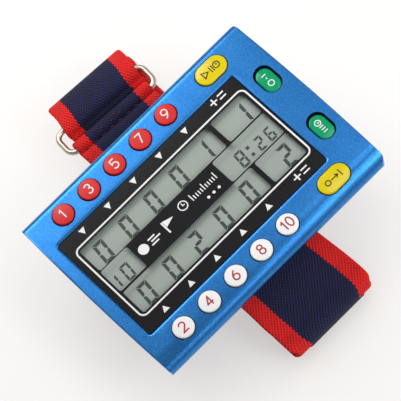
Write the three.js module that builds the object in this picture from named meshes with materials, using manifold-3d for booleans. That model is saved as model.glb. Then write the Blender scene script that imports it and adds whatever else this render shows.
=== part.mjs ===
// Wrist-worn score counter and game timer: a blue two-shell case with a black display window,
// ten numbered keys, two yellow and two green function keys, and a webbing belt with a wire loop.
// Millimetres. +X runs along the reading direction, +Y towards the odd keys, +Z out of the face.
// The origin lies on the flat underside of the belt's tail, below the middle of the case.

import * as THREE from 'three';
import { mergeVertices, toCreasedNormals } from 'three/addons/utils/BufferGeometryUtils.js';
import Module from 'manifold-3d';

const wasm = await Module();
wasm.setup();

// Belt
const strapWidth = 32.5;
const strapThickness = 1.5;
const layerGap = 0.3;
const patchThickness = 0.7;
const patchLength = 24;
const patchWidth = 24;
const patchOverhang = 1.6;
const wristHeight = 9.2;
const strapOffset = 0.75;
const nearFoldReach = 65.4;
const farFoldReach = 49.6;
const farFoldRadius = 2.85;
const tailReach = 47.6;
const hemLength = 11.2;
const hemGap = 0.25;
const turnRadius = 2;
const turnGap = 0.5;
const turnDrop = 2.9;
const hemLean = 0.3;
const farLean = 1.4;
const tailLean = 2.4;
const nearLean = 4.2;
const strapSteps = 3;
const foldSteps = 4;

// Shares of the belt's full width: hem, channel mouth, far fold, under layers, top of the loop, tail
const hemShare = 0.935;
const mouthShare = 0.97;
const wideShare = 1.035;
const innerShare = 0.925;
const topShare = 0.915;
const tailShare = 0.925;

// Route shares. Hem: back along the hem, up from the bar's underside to the channel.
// Entry: back and up from the bar in hem radii. Far: past the case, drop left, lean, width.
// Patch: run down past the patch in strap thicknesses, height left of the step.
const hemTopShares = [[1, 0.68], [0.66, 0.44], [0.4, 0.49], [0.29, 0.3], [0.21, 0.1]];
const hemEntryShares = [[0.88, 0.5], [0.48, 0.89]];
const hemUnderShares = [[0.28, 0.08], [0.68, 0.36]];
const mouthRiseShare = 0.8;
const skewStartShare = 0.45;
const farShares = [[-0.15, 0.72, 0.3, 1.01], [0.28, 0.28, 0.7, 1.035], [0.62, 0.05, 1, 1.035]];
const patchStepShares = [[0, 1], [1, 1], [4, 0], [8, 0]];

// Shares of the sideways lean: of the tail's own over the outer bar, then of the way from
// a layer's own lean to the near fold's, for the under layer, the fold, the turn and the tail
const barLeanShare = 0.7;
const underLeanShare = 0.6;
const foldLeanShare = 0.7;
const turnLeanShare = 0.4;
const tailLeanShares = [0.83, 0.4, 0.1];

// Wire loop of the belt
const wireRadius = 0.95;
const loopLength = 35;
const loopPitch = 8.5;
const loopCornerRadius = 2.4;
const loopY = 50.8;
const loopOffset = 1.45;
const loopLift = 13.5;
const loopSkewShare = -0.062;
const wireSides = 12;
const loopCornerSteps = 7;

// Case
const caseLength = 92;
const caseWidth = 68;
const caseDepth = 17;
const caseWall = 1.8;
const faceWall = 2;
const floorWall = 1.8;
const edgeRadius = 2.9;
const backEdgeRadius = 1.6;
const sideLeanShare = 0.46;
const endBow = 0.5;
const endEdgeRadius = 0.6;
const endLeanShare = 0.1;
const leftCornerRadius = 1;
const rightCornerRadius = 3.2;
const leastRadius = 0.6;
const partingDepth = 6;
const partingGap = 0.3;
const lipHeight = 0.9;
const lipWall = 0.9;
const lipGap = 0.25;
const lipRoot = 2.4;

// Channel through the back for the belt
const channelSide = 1.6;
const channelGap = 0.3;
const channelWall = 1.5;
const bridgeThickness = 1.3;
const bridgeWidth = 4;
const bridgeInset = 6.8;

// Display window
const windowMarginLeft = 4.4;
const windowMarginRight = 12.8;
const windowMarginLong = 12.83;
const windowBevel = 0.8;
const windowCornerRadius = 1;
const lensRecess = 0.4;
const lensThickness = 1.3;
const lensGap = 0.25;
const ledgeWidth = 1.7;
const ledgeThickness = 1.1;
const rimWall = 1.6;
const displayThickness = 2.8;
const displayGap = 0.3;
const holderWall = 1.8;
const holderShelf = 1.6;
const zebraWidth = 2.4;
const zebraInset = 2.2;
const zebraEndInset = 2.6;

// Keys
const keyColumns = 5;
const keyPitchShare = 0.1457;
const firstKeyShare = -0.386;
const keyRowShare = 0.46;
const numberKeyRadius = 3.45;
const numberKeyRise = 0.75;
const keyDome = 0.15;
const keyEdgeRadius = 0.45;
const keyHoleGap = 0.3;
const keyFlange = 0.85;
const keyFlangeThickness = 0.6;
const keyTravel = 0.6;
const keySeatGap = 0.3;
const keySpare = 0.1;
const sleeveWall = 0.9;
const yellowKeyLength = 11.2;
const yellowKeyWidth = 7;
const yellowKeyInset = 3.2;
const greenKeyLength = 9.8;
const greenKeyWidth = 6;
const greenKeySink = 0.8;
const greenKeyPitchShare = 0.555;

// Circuit board and what is on it
const boardThickness = 1.6;
const boardGap = 0.4;
const seatGap = 0.2;
const switchSize = 4;
const switchHeight = 1.5;
const plungerRadius = 1.2;
const plungerHeight = 0.4;
const chipSize = 12;
const chipHeight = 1.4;
const boardRibThickness = 1.4;
const boardRibInset = 3.6;
const boardRibShare = 0.6;

// Battery
const cellRadius = 10;
const cellThickness = 3.2;
const cellStep = 0.5;
const cellGap = 0.4;
const wellWall = 1.2;
const wellHeight = 5;
const contactThickness = 0.3;
const contactWidth = 4;
const contactFoot = 3;
const doorThickness = 1.2;
const doorWidth = 25;
const doorGap = 0.3;
const doorLap = 1.8;
const tongueReach = 0.8;
const tongueThickness = 0.5;
const padWall = 1.5;
const gripCount = 4;
const gripPitch = 1.8;
const gripDepth = 0.4;
const gripWidth = 0.8;
const gripLength = 12;
const gripInset = 4;

// Buzzer
const buzzerRadius = 10;
const buzzerPlate = 0.3;
const ceramicRadius = 7;
const ceramicThickness = 0.25;
const buzzerRest = 1.2;
const buzzerRim = 1.5;
const soundHoleRadius = 0.6;
const soundHoleCount = 6;
const soundHoleCircle = 4;

// Screws
const screwInset = 4.9;
const screwSideInset = 10;
const screwRadius = 0.85;
const screwHeadRadius = 1.65;
const screwHeadHeight = 1.3;
const screwSink = 3.2;
const screwGap = 0.2;
const screwBite = 4;
const bossRadius = 2.4;
const bossJointGap = 0.3;
const bossJointDepth = 8.8;
const driveRadius = 0.6;
const driveDepth = 0.7;
const driveSides = 6;

const overrun = 2;
const roundSides = 24;
const smallSides = 12;
const arcSteps = 6;
const cornerSteps = 3;
const creaseAngle = 0.6;
const weldDistance = 1e-5;

// Levels, from the table up
const tailLevel = strapThickness / 2;
const lowerLevel = tailLevel + strapThickness + layerGap;
const patchedLevel = lowerLevel + patchThickness + layerGap;
const backLevel = lowerLevel + strapThickness / 2 + wristHeight + layerGap;
const faceLevel = backLevel + caseDepth;
const channelLevel = backLevel + bridgeThickness + channelGap + strapThickness / 2;
const channelRoof = channelLevel + strapThickness / 2 + channelGap;
const humpTop = channelRoof + channelWall;
const ceilingLevel = faceLevel - faceWall;
const floorLevel = backLevel + floorWall;
const partingLevel = faceLevel - partingDepth;
const lensTop = faceLevel - lensRecess;
const lensBottom = lensTop - lensThickness;
const ledgeTop = lensBottom - lensGap;
const ledgeBottom = ledgeTop - ledgeThickness;
const displayTop = lensBottom - displayGap;
const displayBottom = displayTop - displayThickness;
const holderBottom = displayBottom - displayGap - holderShelf;
const boardTop = holderBottom - seatGap;
const boardBottom = boardTop - boardThickness;
const plungerTop = boardTop + seatGap + switchHeight + plungerHeight;
const keyBottom = plungerTop + keySpare + keyTravel;
const flangeTop = keyBottom + keyFlangeThickness;
const sleeveBottom = flangeTop + keySeatGap;
const doorTop = backLevel + doorThickness;
const recessTop = doorTop + doorGap;
const padTop = recessTop + padWall;

// Places
const windowLength = caseLength - windowMarginLeft - windowMarginRight;
const windowWidth = caseWidth - 2 * windowMarginLong;
const windowX = (windowMarginLeft - windowMarginRight) / 2;
const windowRight = windowX + windowLength / 2;
const displayLength = windowLength - 2 * ledgeWidth - 2 * displayGap;
const displayWidth = windowWidth - 2 * ledgeWidth - 2 * displayGap;
const zebraY = displayWidth / 2 - zebraInset;
const zebraLength = displayLength - 2 * zebraEndInset;
const rowY = windowWidth / 2 + windowMarginLong * keyRowShare;
const yellowX = windowRight - yellowKeyInset;
const greenX = (windowRight + caseLength / 2) / 2;
const greenY = windowWidth * greenKeyPitchShare / 2;
const channelHalf = strapWidth / 2 + channelSide;
const innerEnd = caseLength / 2 - caseWall;
const cellX = (strapOffset - channelHalf - channelWall - innerEnd) / 2;
const buzzerX = (strapOffset + channelHalf + channelWall + innerEnd) / 2;
const screwX = caseLength / 2 - screwInset;
const screwY = caseWidth / 2 - screwSideInset;
const bossLevel = faceLevel - bossJointDepth;
const innerBarY = loopY - loopPitch / 2;
const outerBarY = loopY + loopPitch / 2;
const hemRadius = wireRadius + hemGap + strapThickness / 2;
const layerPitch = strapThickness + layerGap;
const turnY = innerBarY + hemRadius + strapThickness + turnGap + turnRadius;
const turnZ = loopLift - turnDrop;
const overBar = loopLift + hemRadius;
const underBar = loopLift - hemRadius - layerGap;
const outerFoldRadius = (overBar - tailLevel) / 2;
const nearFoldY = nearFoldReach - outerFoldRadius;

const colours = {
  caseBlue: 0x2f7fcb, backBlue: 0x24508f, black: 0x26262a, glass: 0x9aa39c, rubber: 0x55585a,
  board: 0x1f6b46, chip: 0x222326, steel: 0xb9bcc0, brass: 0xc9a44c, cell: 0xc6c8ca,
  red: 0xe8302a, white: 0xf4f4f2, yellow: 0xebd808, green: 0x10b070, webbing: 0x23254a,
  hook: 0x17181b, wire: 0xdcd6c8, holder: 0xd8d8d4,
};

const finishes = {
  paint: { roughness: 0.35, metalness: 0.1 },
  plastic: { roughness: 0.45, metalness: 0 },
  cloth: { roughness: 0.95, metalness: 0 },
  metal: { roughness: 0.3, metalness: 1 },
};

const model = new THREE.Group();

function solid(geometry) {
  const bare = geometry.clone();
  bare.deleteAttribute('normal');
  bare.deleteAttribute('uv');
  const welded = mergeVertices(bare, weldDistance);
  const mesh = new wasm.Mesh({
    numProp: 3,
    vertProperties: Float32Array.from(welded.attributes.position.array),
    triVerts: Uint32Array.from(welded.index.array),
  });
  return new wasm.Manifold(mesh);
}

function geometryOf(body) {
  const mesh = body.getMesh();
  const geometry = new THREE.BufferGeometry();
  geometry.setAttribute('position', new THREE.BufferAttribute(mesh.vertProperties, 3));
  geometry.setIndex(new THREE.BufferAttribute(mesh.triVerts, 1));
  return geometry;
}

function addPiece(name, body, colour, finish) {
  const geometry = body instanceof THREE.BufferGeometry ? body : geometryOf(body);
  const material = new THREE.MeshStandardMaterial({ color: colour, ...finish });
  const mesh = new THREE.Mesh(toCreasedNormals(geometry, creaseAngle), material);
  mesh.name = name;
  model.add(mesh);
  return mesh;
}

function box(xLow, xHigh, yLow, yHigh, zLow, zHigh) {
  const geometry = new THREE.BoxGeometry(xHigh - xLow, yHigh - yLow, zHigh - zLow);
  geometry.translate((xLow + xHigh) / 2, (yLow + yHigh) / 2, (zLow + zHigh) / 2);
  return solid(geometry);
}

function centredBox(x, y, xSize, ySize, zLow, zHigh) {
  return box(x - xSize / 2, x + xSize / 2, y - ySize / 2, y + ySize / 2, zLow, zHigh);
}

function disc(x, y, radius, zLow, zHigh, sides = roundSides) {
  const geometry = new THREE.CylinderGeometry(radius, radius, zHigh - zLow, sides);
  geometry.rotateX(Math.PI / 2);
  geometry.translate(x, y, (zLow + zHigh) / 2);
  return solid(geometry);
}

function joinAll(bodies) {
  return bodies.reduce((whole, body) => whole.add(body));
}

function cutAll(body, cuts) {
  return cuts.reduce((whole, cut) => whole.subtract(cut), body);
}

// A shape drawn in Y and Z, run along X
function alongX(shape, xLow, xHigh, steps = arcSteps) {
  const settings = { depth: xHigh - xLow, bevelEnabled: false, curveSegments: steps };
  const geometry = new THREE.ExtrudeGeometry(shape, settings);
  const turn = new THREE.Matrix4().makeBasis(
    new THREE.Vector3(0, 1, 0),
    new THREE.Vector3(0, 0, 1),
    new THREE.Vector3(1, 0, 0),
  );
  geometry.applyMatrix4(turn);
  geometry.translate(xLow, 0, 0);
  return solid(geometry);
}

// Case cross-section: flat face, rolled long edges, sides leaning in towards the back
function caseSection(inset, roof, floor) {
  const half = caseWidth / 2 - inset;
  const radius = Math.max(edgeRadius - inset, leastRadius);
  const lean = Math.atan(sideLeanShare);
  const flat = half - radius;
  const tangentY = flat + radius * Math.cos(lean);
  const tangentZ = roof - radius - radius * Math.sin(lean);
  const cornerY = tangentY - sideLeanShare * (tangentZ - floor);
  const round = Math.max(backEdgeRadius - inset, leastRadius);
  const sideY = cornerY + sideLeanShare * round;
  const shape = new THREE.Shape();
  shape.moveTo(-flat, roof);
  shape.lineTo(flat, roof);
  shape.absarc(flat, roof - radius, radius, Math.PI / 2, -lean, true);
  shape.lineTo(sideY, floor + round);
  shape.quadraticCurveTo(cornerY, floor, cornerY - round, floor);
  shape.lineTo(round - cornerY, floor);
  shape.quadraticCurveTo(-cornerY, floor, -sideY, floor + round);
  shape.lineTo(-tangentY, tangentZ);
  shape.absarc(-flat, roof - radius, radius, Math.PI + lean, Math.PI / 2, true);
  return shape;
}

// Case plan: both ends bow out, the right-hand corners are rounder than the left-hand ones.
// The ends lean in towards the back.
function casePlan(inset) {
  const half = caseWidth / 2 - inset;
  const end = caseLength / 2 - inset - endBow;
  const left = Math.max(leftCornerRadius - inset, leastRadius);
  const right = Math.max(rightCornerRadius - inset, leastRadius);
  const shape = new THREE.Shape();
  shape.moveTo(left - end, -half);
  shape.lineTo(end - right, -half);
  shape.quadraticCurveTo(end, -half, end, right - half);
  shape.quadraticCurveTo(end + 2 * endBow, 0, end, half - right);
  shape.quadraticCurveTo(end, half, end - right, half);
  shape.lineTo(left - end, half);
  shape.quadraticCurveTo(-end, half, -end, half - left);
  shape.quadraticCurveTo(-end - 2 * endBow, 0, -end, left - half);
  shape.quadraticCurveTo(-end, -half, left - end, -half);
  return shape;
}

function caseBody(inset, roof, floor, bevel) {
  const section = alongX(caseSection(inset, roof, floor), -caseLength, caseLength);
  const plan = new THREE.ExtrudeGeometry(casePlan(inset), {
    depth: roof - floor - 2 * bevel,
    bevelEnabled: bevel > 0,
    bevelThickness: bevel,
    bevelSize: bevel,
    bevelOffset: -bevel,
    bevelSegments: 2,
    curveSegments: arcSteps,
  });
  plan.translate(0, 0, floor + bevel);
  const points = plan.attributes.position;
  for (let point = 0; point < points.count; point += 1) {
    const x = points.getX(point);
    const drop = faceLevel - endEdgeRadius - points.getZ(point);
    points.setX(point, x - Math.sign(x) * endLeanShare * drop);
  }
  return section.intersect(solid(plan));
}

function slab(zLow, zHigh) {
  return centredBox(0, 0, caseLength + 2 * overrun, caseWidth + 2 * overrun, zLow, zHigh);
}

// Keys: places, sizes and colours of all fourteen
function ovalOutline(length, width) {
  const round = width / 2;
  const straight = length / 2 - round;
  const shape = new THREE.Shape();
  shape.moveTo(-straight, -round);
  shape.lineTo(straight, -round);
  shape.absarc(straight, 0, round, -Math.PI / 2, Math.PI / 2, false);
  shape.lineTo(-straight, round);
  shape.absarc(-straight, 0, round, Math.PI / 2, 3 * Math.PI / 2, false);
  return shape;
}

function ovalBlock(key, grow, zLow, zHigh, bevel = 0) {
  const outline = ovalOutline(key.length + 2 * grow, key.width + 2 * grow);
  const geometry = new THREE.ExtrudeGeometry(outline, {
    depth: zHigh - zLow - bevel,
    bevelEnabled: bevel > 0,
    bevelThickness: bevel,
    bevelSize: bevel,
    bevelOffset: -bevel,
    bevelSegments: 2,
    curveSegments: arcSteps,
  });
  geometry.rotateZ(key.turn);
  geometry.translate(key.x, key.y, zLow);
  return solid(geometry);
}

function keyBlock(key, grow, zLow, zHigh) {
  if (key.round) {
    return disc(key.x, key.y, key.width / 2 + grow, zLow, zHigh);
  }
  return ovalBlock(key, grow, zLow, zHigh);
}

const numberKeyTop = faceLevel + numberKeyRise;
const keys = [];
for (let column = 0; column < keyColumns; column += 1) {
  const x = windowX + windowLength * (firstKeyShare + column * keyPitchShare);
  const round = { round: true, width: 2 * numberKeyRadius, top: numberKeyTop };
  keys.push({ ...round, name: `key_${2 * column + 1}`, x, y: rowY, colour: colours.red });
  keys.push({ ...round, name: `key_${2 * column + 2}`, x, y: -rowY, colour: colours.white });
}
const yellow = {
  length: yellowKeyLength,
  width: yellowKeyWidth,
  turn: 0,
  top: numberKeyTop,
  colour: colours.yellow,
};
keys.push({ ...yellow, name: 'key_start', x: yellowX, y: rowY });
keys.push({ ...yellow, name: 'key_out', x: yellowX, y: -rowY });
const green = {
  length: greenKeyLength,
  width: greenKeyWidth,
  turn: Math.PI / 2,
  top: faceLevel - greenKeySink,
  colour: colours.green,
};
keys.push({ ...green, name: 'key_power', x: greenX, y: greenY });
keys.push({ ...green, name: 'key_timer', x: greenX, y: -greenY });

const screwPlaces = [
  [-screwX, -screwY],
  [screwX, -screwY],
  [screwX, screwY],
  [-screwX, screwY],
];

// The window's outline with small round corners, grown by a margin, at a level
function windowRing(grow, z) {
  const halfX = windowLength / 2 + grow;
  const halfY = windowWidth / 2 + grow;
  const radius = windowCornerRadius + grow;
  const ring = [];
  [[1, 1], [-1, 1], [-1, -1], [1, -1]].forEach(([xSide, ySide], corner) => {
    for (let step = 0; step <= cornerSteps; step += 1) {
      const angle = (corner + step / cornerSteps) * Math.PI / 2;
      const x = windowX + xSide * (halfX - radius) + radius * Math.cos(angle);
      const y = ySide * (halfY - radius) + radius * Math.sin(angle);
      ring.push(new THREE.Vector3(x, y, z));
    }
  });
  return ring;
}

// The window's opening: upright down to the ledge, widening with a bevel above the lens
function windowCut() {
  const upright = solid(loft([windowRing(0, ledgeTop), windowRing(0, faceLevel)], false));
  const flare = windowBevel * (lensRecess + overrun) / lensRecess;
  const bevel = loft([windowRing(0, lensTop), windowRing(flare, faceLevel + overrun)], false);
  return upright.add(solid(bevel));
}

// Front shell: face, window with its ledge, key sleeves and screw bosses
function frontCase() {
  const outer = caseBody(0, faceLevel, backLevel, endEdgeRadius);
  const inner = caseBody(caseWall, ceilingLevel, backLevel, 0);
  let shell = outer.subtract(inner).intersect(slab(partingLevel, faceLevel + overrun));
  const rootLevel = ceilingLevel + faceWall / 2;
  const rim = centredBox(
    windowX, 0, windowLength + 2 * rimWall, windowWidth + 2 * rimWall, ledgeBottom, rootLevel,
  );
  const sleeves = keys.map((key) => keyBlock(key, keyHoleGap + sleeveWall, sleeveBottom, rootLevel));
  const bosses = screwPlaces.map(([x, y]) => {
    return disc(x, y, bossRadius, bossLevel, rootLevel, smallSides);
  });
  shell = joinAll([shell, rim, ...sleeves, ...bosses]).intersect(outer);
  const ledge = centredBox(
    windowX, 0, windowLength - 2 * ledgeWidth, windowWidth - 2 * ledgeWidth, backLevel, faceLevel,
  );
  const holes = keys.map((key) => keyBlock(key, keyHoleGap, backLevel, faceLevel + overrun));
  const pilots = screwPlaces.map(([x, y]) => {
    return disc(x, y, screwRadius + screwGap, backLevel, bossLevel + screwBite + screwGap, smallSides);
  });
  return cutAll(shell, [windowCut(), ledge, ...holes, ...pilots]);
}

// Back shell: belt channel with its two bridges, battery well and door recess, buzzer rest, posts
function backCase() {
  const outer = caseBody(0, faceLevel, backLevel, endEdgeRadius);
  const inner = caseBody(caseWall, ceilingLevel, floorLevel, 0);
  const lipOuter = caseBody(caseWall + lipGap, ceilingLevel, backLevel, 0);
  const lipInner = caseBody(caseWall + lipGap + lipWall, ceilingLevel, backLevel - overrun, 0);
  const rootOuter = caseBody(caseWall / 2, ceilingLevel, backLevel, 0);
  const edge = partingLevel - partingGap;
  const tray = outer.subtract(inner).intersect(slab(backLevel - overrun, edge));
  const lip = lipOuter.subtract(lipInner).intersect(slab(edge - lipRoot, partingLevel + lipHeight));
  const root = rootOuter.subtract(lipInner).intersect(slab(edge - lipRoot, edge));
  const hump = box(
    strapOffset - channelHalf - channelWall, strapOffset + channelHalf + channelWall,
    -caseWidth, caseWidth, backLevel, humpTop,
  ).intersect(outer);
  const well = disc(cellX, 0, cellRadius + cellGap + wellWall, backLevel, floorLevel + wellHeight);
  const recessRight = cellX + cellRadius + doorLap;
  const pad = box(
    -innerEnd - caseWall / 2, recessRight + padWall,
    -doorWidth / 2 - tongueReach - padWall, doorWidth / 2 + tongueReach + padWall, backLevel, padTop,
  ).intersect(outer);
  const buzzerWall = floorLevel + buzzerRest + buzzerRim / 2;
  const buzzerSeat = disc(buzzerX, 0, buzzerRadius + buzzerRim, backLevel, buzzerWall);
  const posts = screwPlaces.map(([x, y]) => {
    return disc(x, y, bossRadius, backLevel, bossLevel - bossJointGap, smallSides);
  });
  const ribX = channelHalf - boardRibInset;
  const ribs = [-ribX, ribX].map((x) => {
    return centredBox(
      strapOffset + x, 0, boardRibThickness, caseWidth * boardRibShare,
      channelRoof + channelWall / 2, boardBottom - seatGap,
    );
  });
  let shell = joinAll([tray, lip, root, hump, well, pad, buzzerSeat, ...posts]).intersect(outer);
  const channel = box(
    strapOffset - channelHalf, strapOffset + channelHalf,
    -caseWidth, caseWidth, backLevel - overrun, channelRoof,
  );
  const grooveHalf = doorWidth / 2 + tongueReach + doorGap;
  const grooveMiddle = backLevel + doorThickness / 2;
  const cuts = [
    channel,
    disc(cellX, 0, cellRadius + cellGap, backLevel - overrun, faceLevel),
    box(
      -caseLength, recessRight + doorGap, -doorWidth / 2 - doorGap, doorWidth / 2 + doorGap,
      backLevel - overrun, recessTop,
    ),
    box(
      -caseLength, recessRight + doorGap, -grooveHalf, grooveHalf,
      grooveMiddle - tongueThickness / 2 - doorGap / 2, grooveMiddle + tongueThickness / 2 + doorGap / 2,
    ),
    centredBox(
      cellX, cellRadius + cellGap,
      contactWidth + 2 * contactThickness, 2 * (contactThickness + cellGap), padTop, faceLevel,
    ),
    disc(buzzerX, 0, buzzerRadius + layerGap, floorLevel + buzzerRest, faceLevel),
    disc(buzzerX, 0, buzzerRadius - buzzerRim, floorLevel, faceLevel),
    disc(buzzerX, 0, soundHoleRadius, backLevel - overrun, faceLevel, smallSides),
  ];
  for (let hole = 0; hole < soundHoleCount; hole += 1) {
    const angle = hole * 2 * Math.PI / soundHoleCount;
    const x = buzzerX + soundHoleCircle * Math.cos(angle);
    const y = soundHoleCircle * Math.sin(angle);
    cuts.push(disc(x, y, soundHoleRadius, backLevel - overrun, faceLevel, smallSides));
  }
  for (const [x, y] of screwPlaces) {
    const headRoom = screwHeadRadius + screwGap;
    cuts.push(disc(x, y, headRoom, backLevel - overrun, backLevel + screwSink, smallSides));
    cuts.push(disc(x, y, screwRadius + screwGap, backLevel, faceLevel, smallSides));
    cuts.push(disc(x, y, bossRadius + layerGap, bossLevel - bossJointGap, faceLevel, smallSides));
  }
  shell = cutAll(shell, cuts);
  const bridges = [-1, 1].map((side) => beltBridge(side * (caseWidth / 2 - bridgeInset - bridgeWidth)));
  return joinAll([shell, ...ribs, ...bridges]);
}

// A bar across the channel, flush with the back, with rounded long edges
function beltBridge(y) {
  const round = bridgeThickness / 2;
  const straight = bridgeWidth / 2 - round;
  const middle = backLevel + round;
  const shape = new THREE.Shape();
  shape.moveTo(y - straight, backLevel);
  shape.lineTo(y + straight, backLevel);
  shape.absarc(y + straight, middle, round, -Math.PI / 2, Math.PI / 2, false);
  shape.lineTo(y - straight, backLevel + bridgeThickness);
  shape.absarc(y - straight, middle, round, Math.PI / 2, 3 * Math.PI / 2, false);
  const reach = channelHalf + channelWall / 2;
  return alongX(shape, strapOffset - reach, strapOffset + reach);
}

function displayLens() {
  return solid(loft([windowRing(-lensGap, lensBottom), windowRing(-lensGap, lensTop)], false));
}

function displayPanel() {
  return centredBox(windowX, 0, displayLength, displayWidth, displayBottom, displayTop);
}

// Open frame that carries the display and guides its two contact strips
function displayHolder() {
  const frame = centredBox(
    windowX, 0, displayLength + 2 * holderWall, displayWidth + 2 * holderWall,
    holderBottom, ledgeBottom - seatGap,
  );
  const pocket = centredBox(
    windowX, 0, displayLength + 2 * displayGap, displayWidth + 2 * displayGap,
    displayBottom - displayGap, faceLevel,
  );
  const slotGrow = 2 * displayGap;
  const openWidth = 2 * (zebraY - zebraWidth);
  const cuts = [
    pocket,
    centredBox(windowX, 0, zebraLength, openWidth - slotGrow, backLevel, faceLevel),
    centredBox(windowX, zebraY, zebraLength + slotGrow, zebraWidth + slotGrow, backLevel, faceLevel),
    centredBox(windowX, -zebraY, zebraLength + slotGrow, zebraWidth + slotGrow, backLevel, faceLevel),
  ];
  return cutAll(frame, cuts);
}

function zebraStrip(y) {
  return centredBox(windowX, y, zebraLength, zebraWidth, boardTop + seatGap, displayBottom - seatGap);
}

function circuitBoard() {
  const inset = caseWall + lipGap + lipWall + boardGap;
  const blank = caseBody(inset, ceilingLevel, backLevel, 0).intersect(slab(boardBottom, boardTop));
  const notches = screwPlaces.map(([x, y]) => {
    const side = Math.sign(x);
    const row = Math.sign(y);
    const xInner = x - side * (bossRadius + boardGap);
    const yInner = y - row * (bossRadius + boardGap);
    return centredBox(
      (xInner + side * caseLength) / 2, (yInner + row * caseWidth) / 2,
      caseLength - Math.abs(xInner), caseWidth - Math.abs(yInner), backLevel, faceLevel,
    );
  });
  return cutAll(blank, notches);
}

function tactSwitch(key) {
  const base = boardTop + seatGap;
  const body = centredBox(key.x, key.y, switchSize, switchSize, base, base + switchHeight);
  return body.add(disc(key.x, key.y, plungerRadius, base + switchHeight / 2, plungerTop, smallSides));
}

// Round caps are turned, the oval ones are extruded with a rounded top edge
function roundKey(key) {
  const radius = key.width / 2;
  const nick = keyEdgeRadius * (1 - Math.SQRT1_2);
  const outline = [
    new THREE.Vector2(0, keyBottom),
    new THREE.Vector2(radius + keyFlange, keyBottom),
    new THREE.Vector2(radius + keyFlange, flangeTop),
    new THREE.Vector2(radius, flangeTop),
    new THREE.Vector2(radius, key.top - keyEdgeRadius),
    new THREE.Vector2(radius - nick, key.top - nick),
    new THREE.Vector2(radius - keyEdgeRadius, key.top),
    new THREE.Vector2(0, key.top + keyDome),
  ];
  const geometry = new THREE.LatheGeometry(outline, roundSides);
  geometry.rotateX(Math.PI / 2);
  geometry.translate(key.x, key.y, 0);
  return solid(geometry);
}

function ovalKey(key) {
  const aboveFlange = slab(flangeTop - keyEdgeRadius, faceLevel + caseDepth);
  const cap = ovalBlock(key, 0, keyBottom, key.top, keyEdgeRadius).intersect(aboveFlange);
  return cap.add(ovalBlock(key, keyFlange, keyBottom, flangeTop));
}

function coinCell() {
  const bottom = doorTop + doorGap;
  const outline = [
    new THREE.Vector2(0, bottom),
    new THREE.Vector2(cellRadius - cellStep, bottom),
    new THREE.Vector2(cellRadius, bottom + cellStep),
    new THREE.Vector2(cellRadius, bottom + cellThickness - cellStep),
    new THREE.Vector2(cellRadius - 2 * cellStep, bottom + cellThickness - cellStep),
    new THREE.Vector2(cellRadius - 3 * cellStep, bottom + cellThickness),
    new THREE.Vector2(0, bottom + cellThickness),
  ];
  const geometry = new THREE.LatheGeometry(outline, roundSides);
  geometry.rotateX(Math.PI / 2);
  geometry.translate(cellX, 0, 0);
  return solid(geometry);
}

// A bent leaf from the board down to the top of the cell
function springContact() {
  const low = doorTop + doorGap + cellThickness + seatGap;
  const high = boardBottom - seatGap;
  const reach = cellRadius / 2;
  const shape = new THREE.Shape();
  shape.moveTo(-reach - contactFoot, high);
  shape.lineTo(-reach - contactFoot, high - contactThickness);
  shape.lineTo(-reach, high - contactThickness);
  shape.lineTo(-contactFoot / 2, low);
  shape.lineTo(contactFoot / 2, low);
  shape.lineTo(reach / 2, low + reach / 4);
  shape.lineTo(reach / 2, low + reach / 4 + contactThickness);
  shape.lineTo(contactFoot / 2, low + contactThickness);
  shape.lineTo(-contactFoot / 2, low + contactThickness);
  shape.lineTo(-reach, high);
  return alongX(shape, cellX - contactWidth / 2, cellX + contactWidth / 2);
}

// A clip that stands in the notch of the well beside the cell
function sideContact() {
  const high = boardBottom - seatGap;
  const near = cellRadius + cellGap;
  const low = padTop + seatGap;
  const shape = new THREE.Shape();
  shape.moveTo(near, low);
  shape.lineTo(near + contactThickness, low);
  shape.lineTo(near + contactThickness, high - contactThickness);
  shape.lineTo(near + contactThickness + contactFoot, high - contactThickness);
  shape.lineTo(near + contactThickness + contactFoot, high);
  shape.lineTo(near, high);
  return alongX(shape, cellX - contactWidth / 2, cellX + contactWidth / 2);
}

// Sliding door: its end follows the case, tongues run in the recess sides, ribs give the thumb a grip
function batteryDoor() {
  const right = cellX + cellRadius + doorLap;
  const middle = backLevel + doorThickness / 2;
  const plate = box(-caseLength, right, -doorWidth / 2, doorWidth / 2, backLevel, doorTop);
  const tongueHalf = doorWidth / 2 + tongueReach;
  const tongues = box(
    -innerEnd, right, -tongueHalf, tongueHalf, middle - tongueThickness / 2, middle + tongueThickness / 2,
  );
  const door = plate.add(tongues).intersect(caseBody(0, faceLevel, backLevel, endEdgeRadius));
  const cuts = [];
  for (let groove = 0; groove < gripCount; groove += 1) {
    const x = -innerEnd + gripInset + groove * gripPitch;
    cuts.push(centredBox(x, 0, gripWidth, gripLength, backLevel - overrun, backLevel + gripDepth));
  }
  return cutAll(door, cuts);
}

function buzzerDisc() {
  const bottom = floorLevel + buzzerRest + seatGap;
  const top = bottom + buzzerPlate;
  const plate = disc(buzzerX, 0, buzzerRadius, bottom, top);
  const ceramic = disc(buzzerX, 0, ceramicRadius, top - buzzerPlate / 2, top + ceramicThickness);
  return plate.add(ceramic);
}

function chip() {
  const top = boardBottom - seatGap;
  return centredBox(strapOffset, 0, chipSize, chipSize, top - chipHeight, top);
}

function screw(x, y) {
  const seat = backLevel + screwSink - seatGap;
  const head = disc(x, y, screwHeadRadius, seat - screwHeadHeight, seat, smallSides);
  const shank = disc(x, y, screwRadius, seat - screwHeadHeight / 2, bossLevel + screwBite, smallSides);
  const slot = disc(x, y, driveRadius, backLevel, seat - screwHeadHeight + driveDepth, driveSides);
  return head.add(shank).subtract(slot);
}

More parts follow.
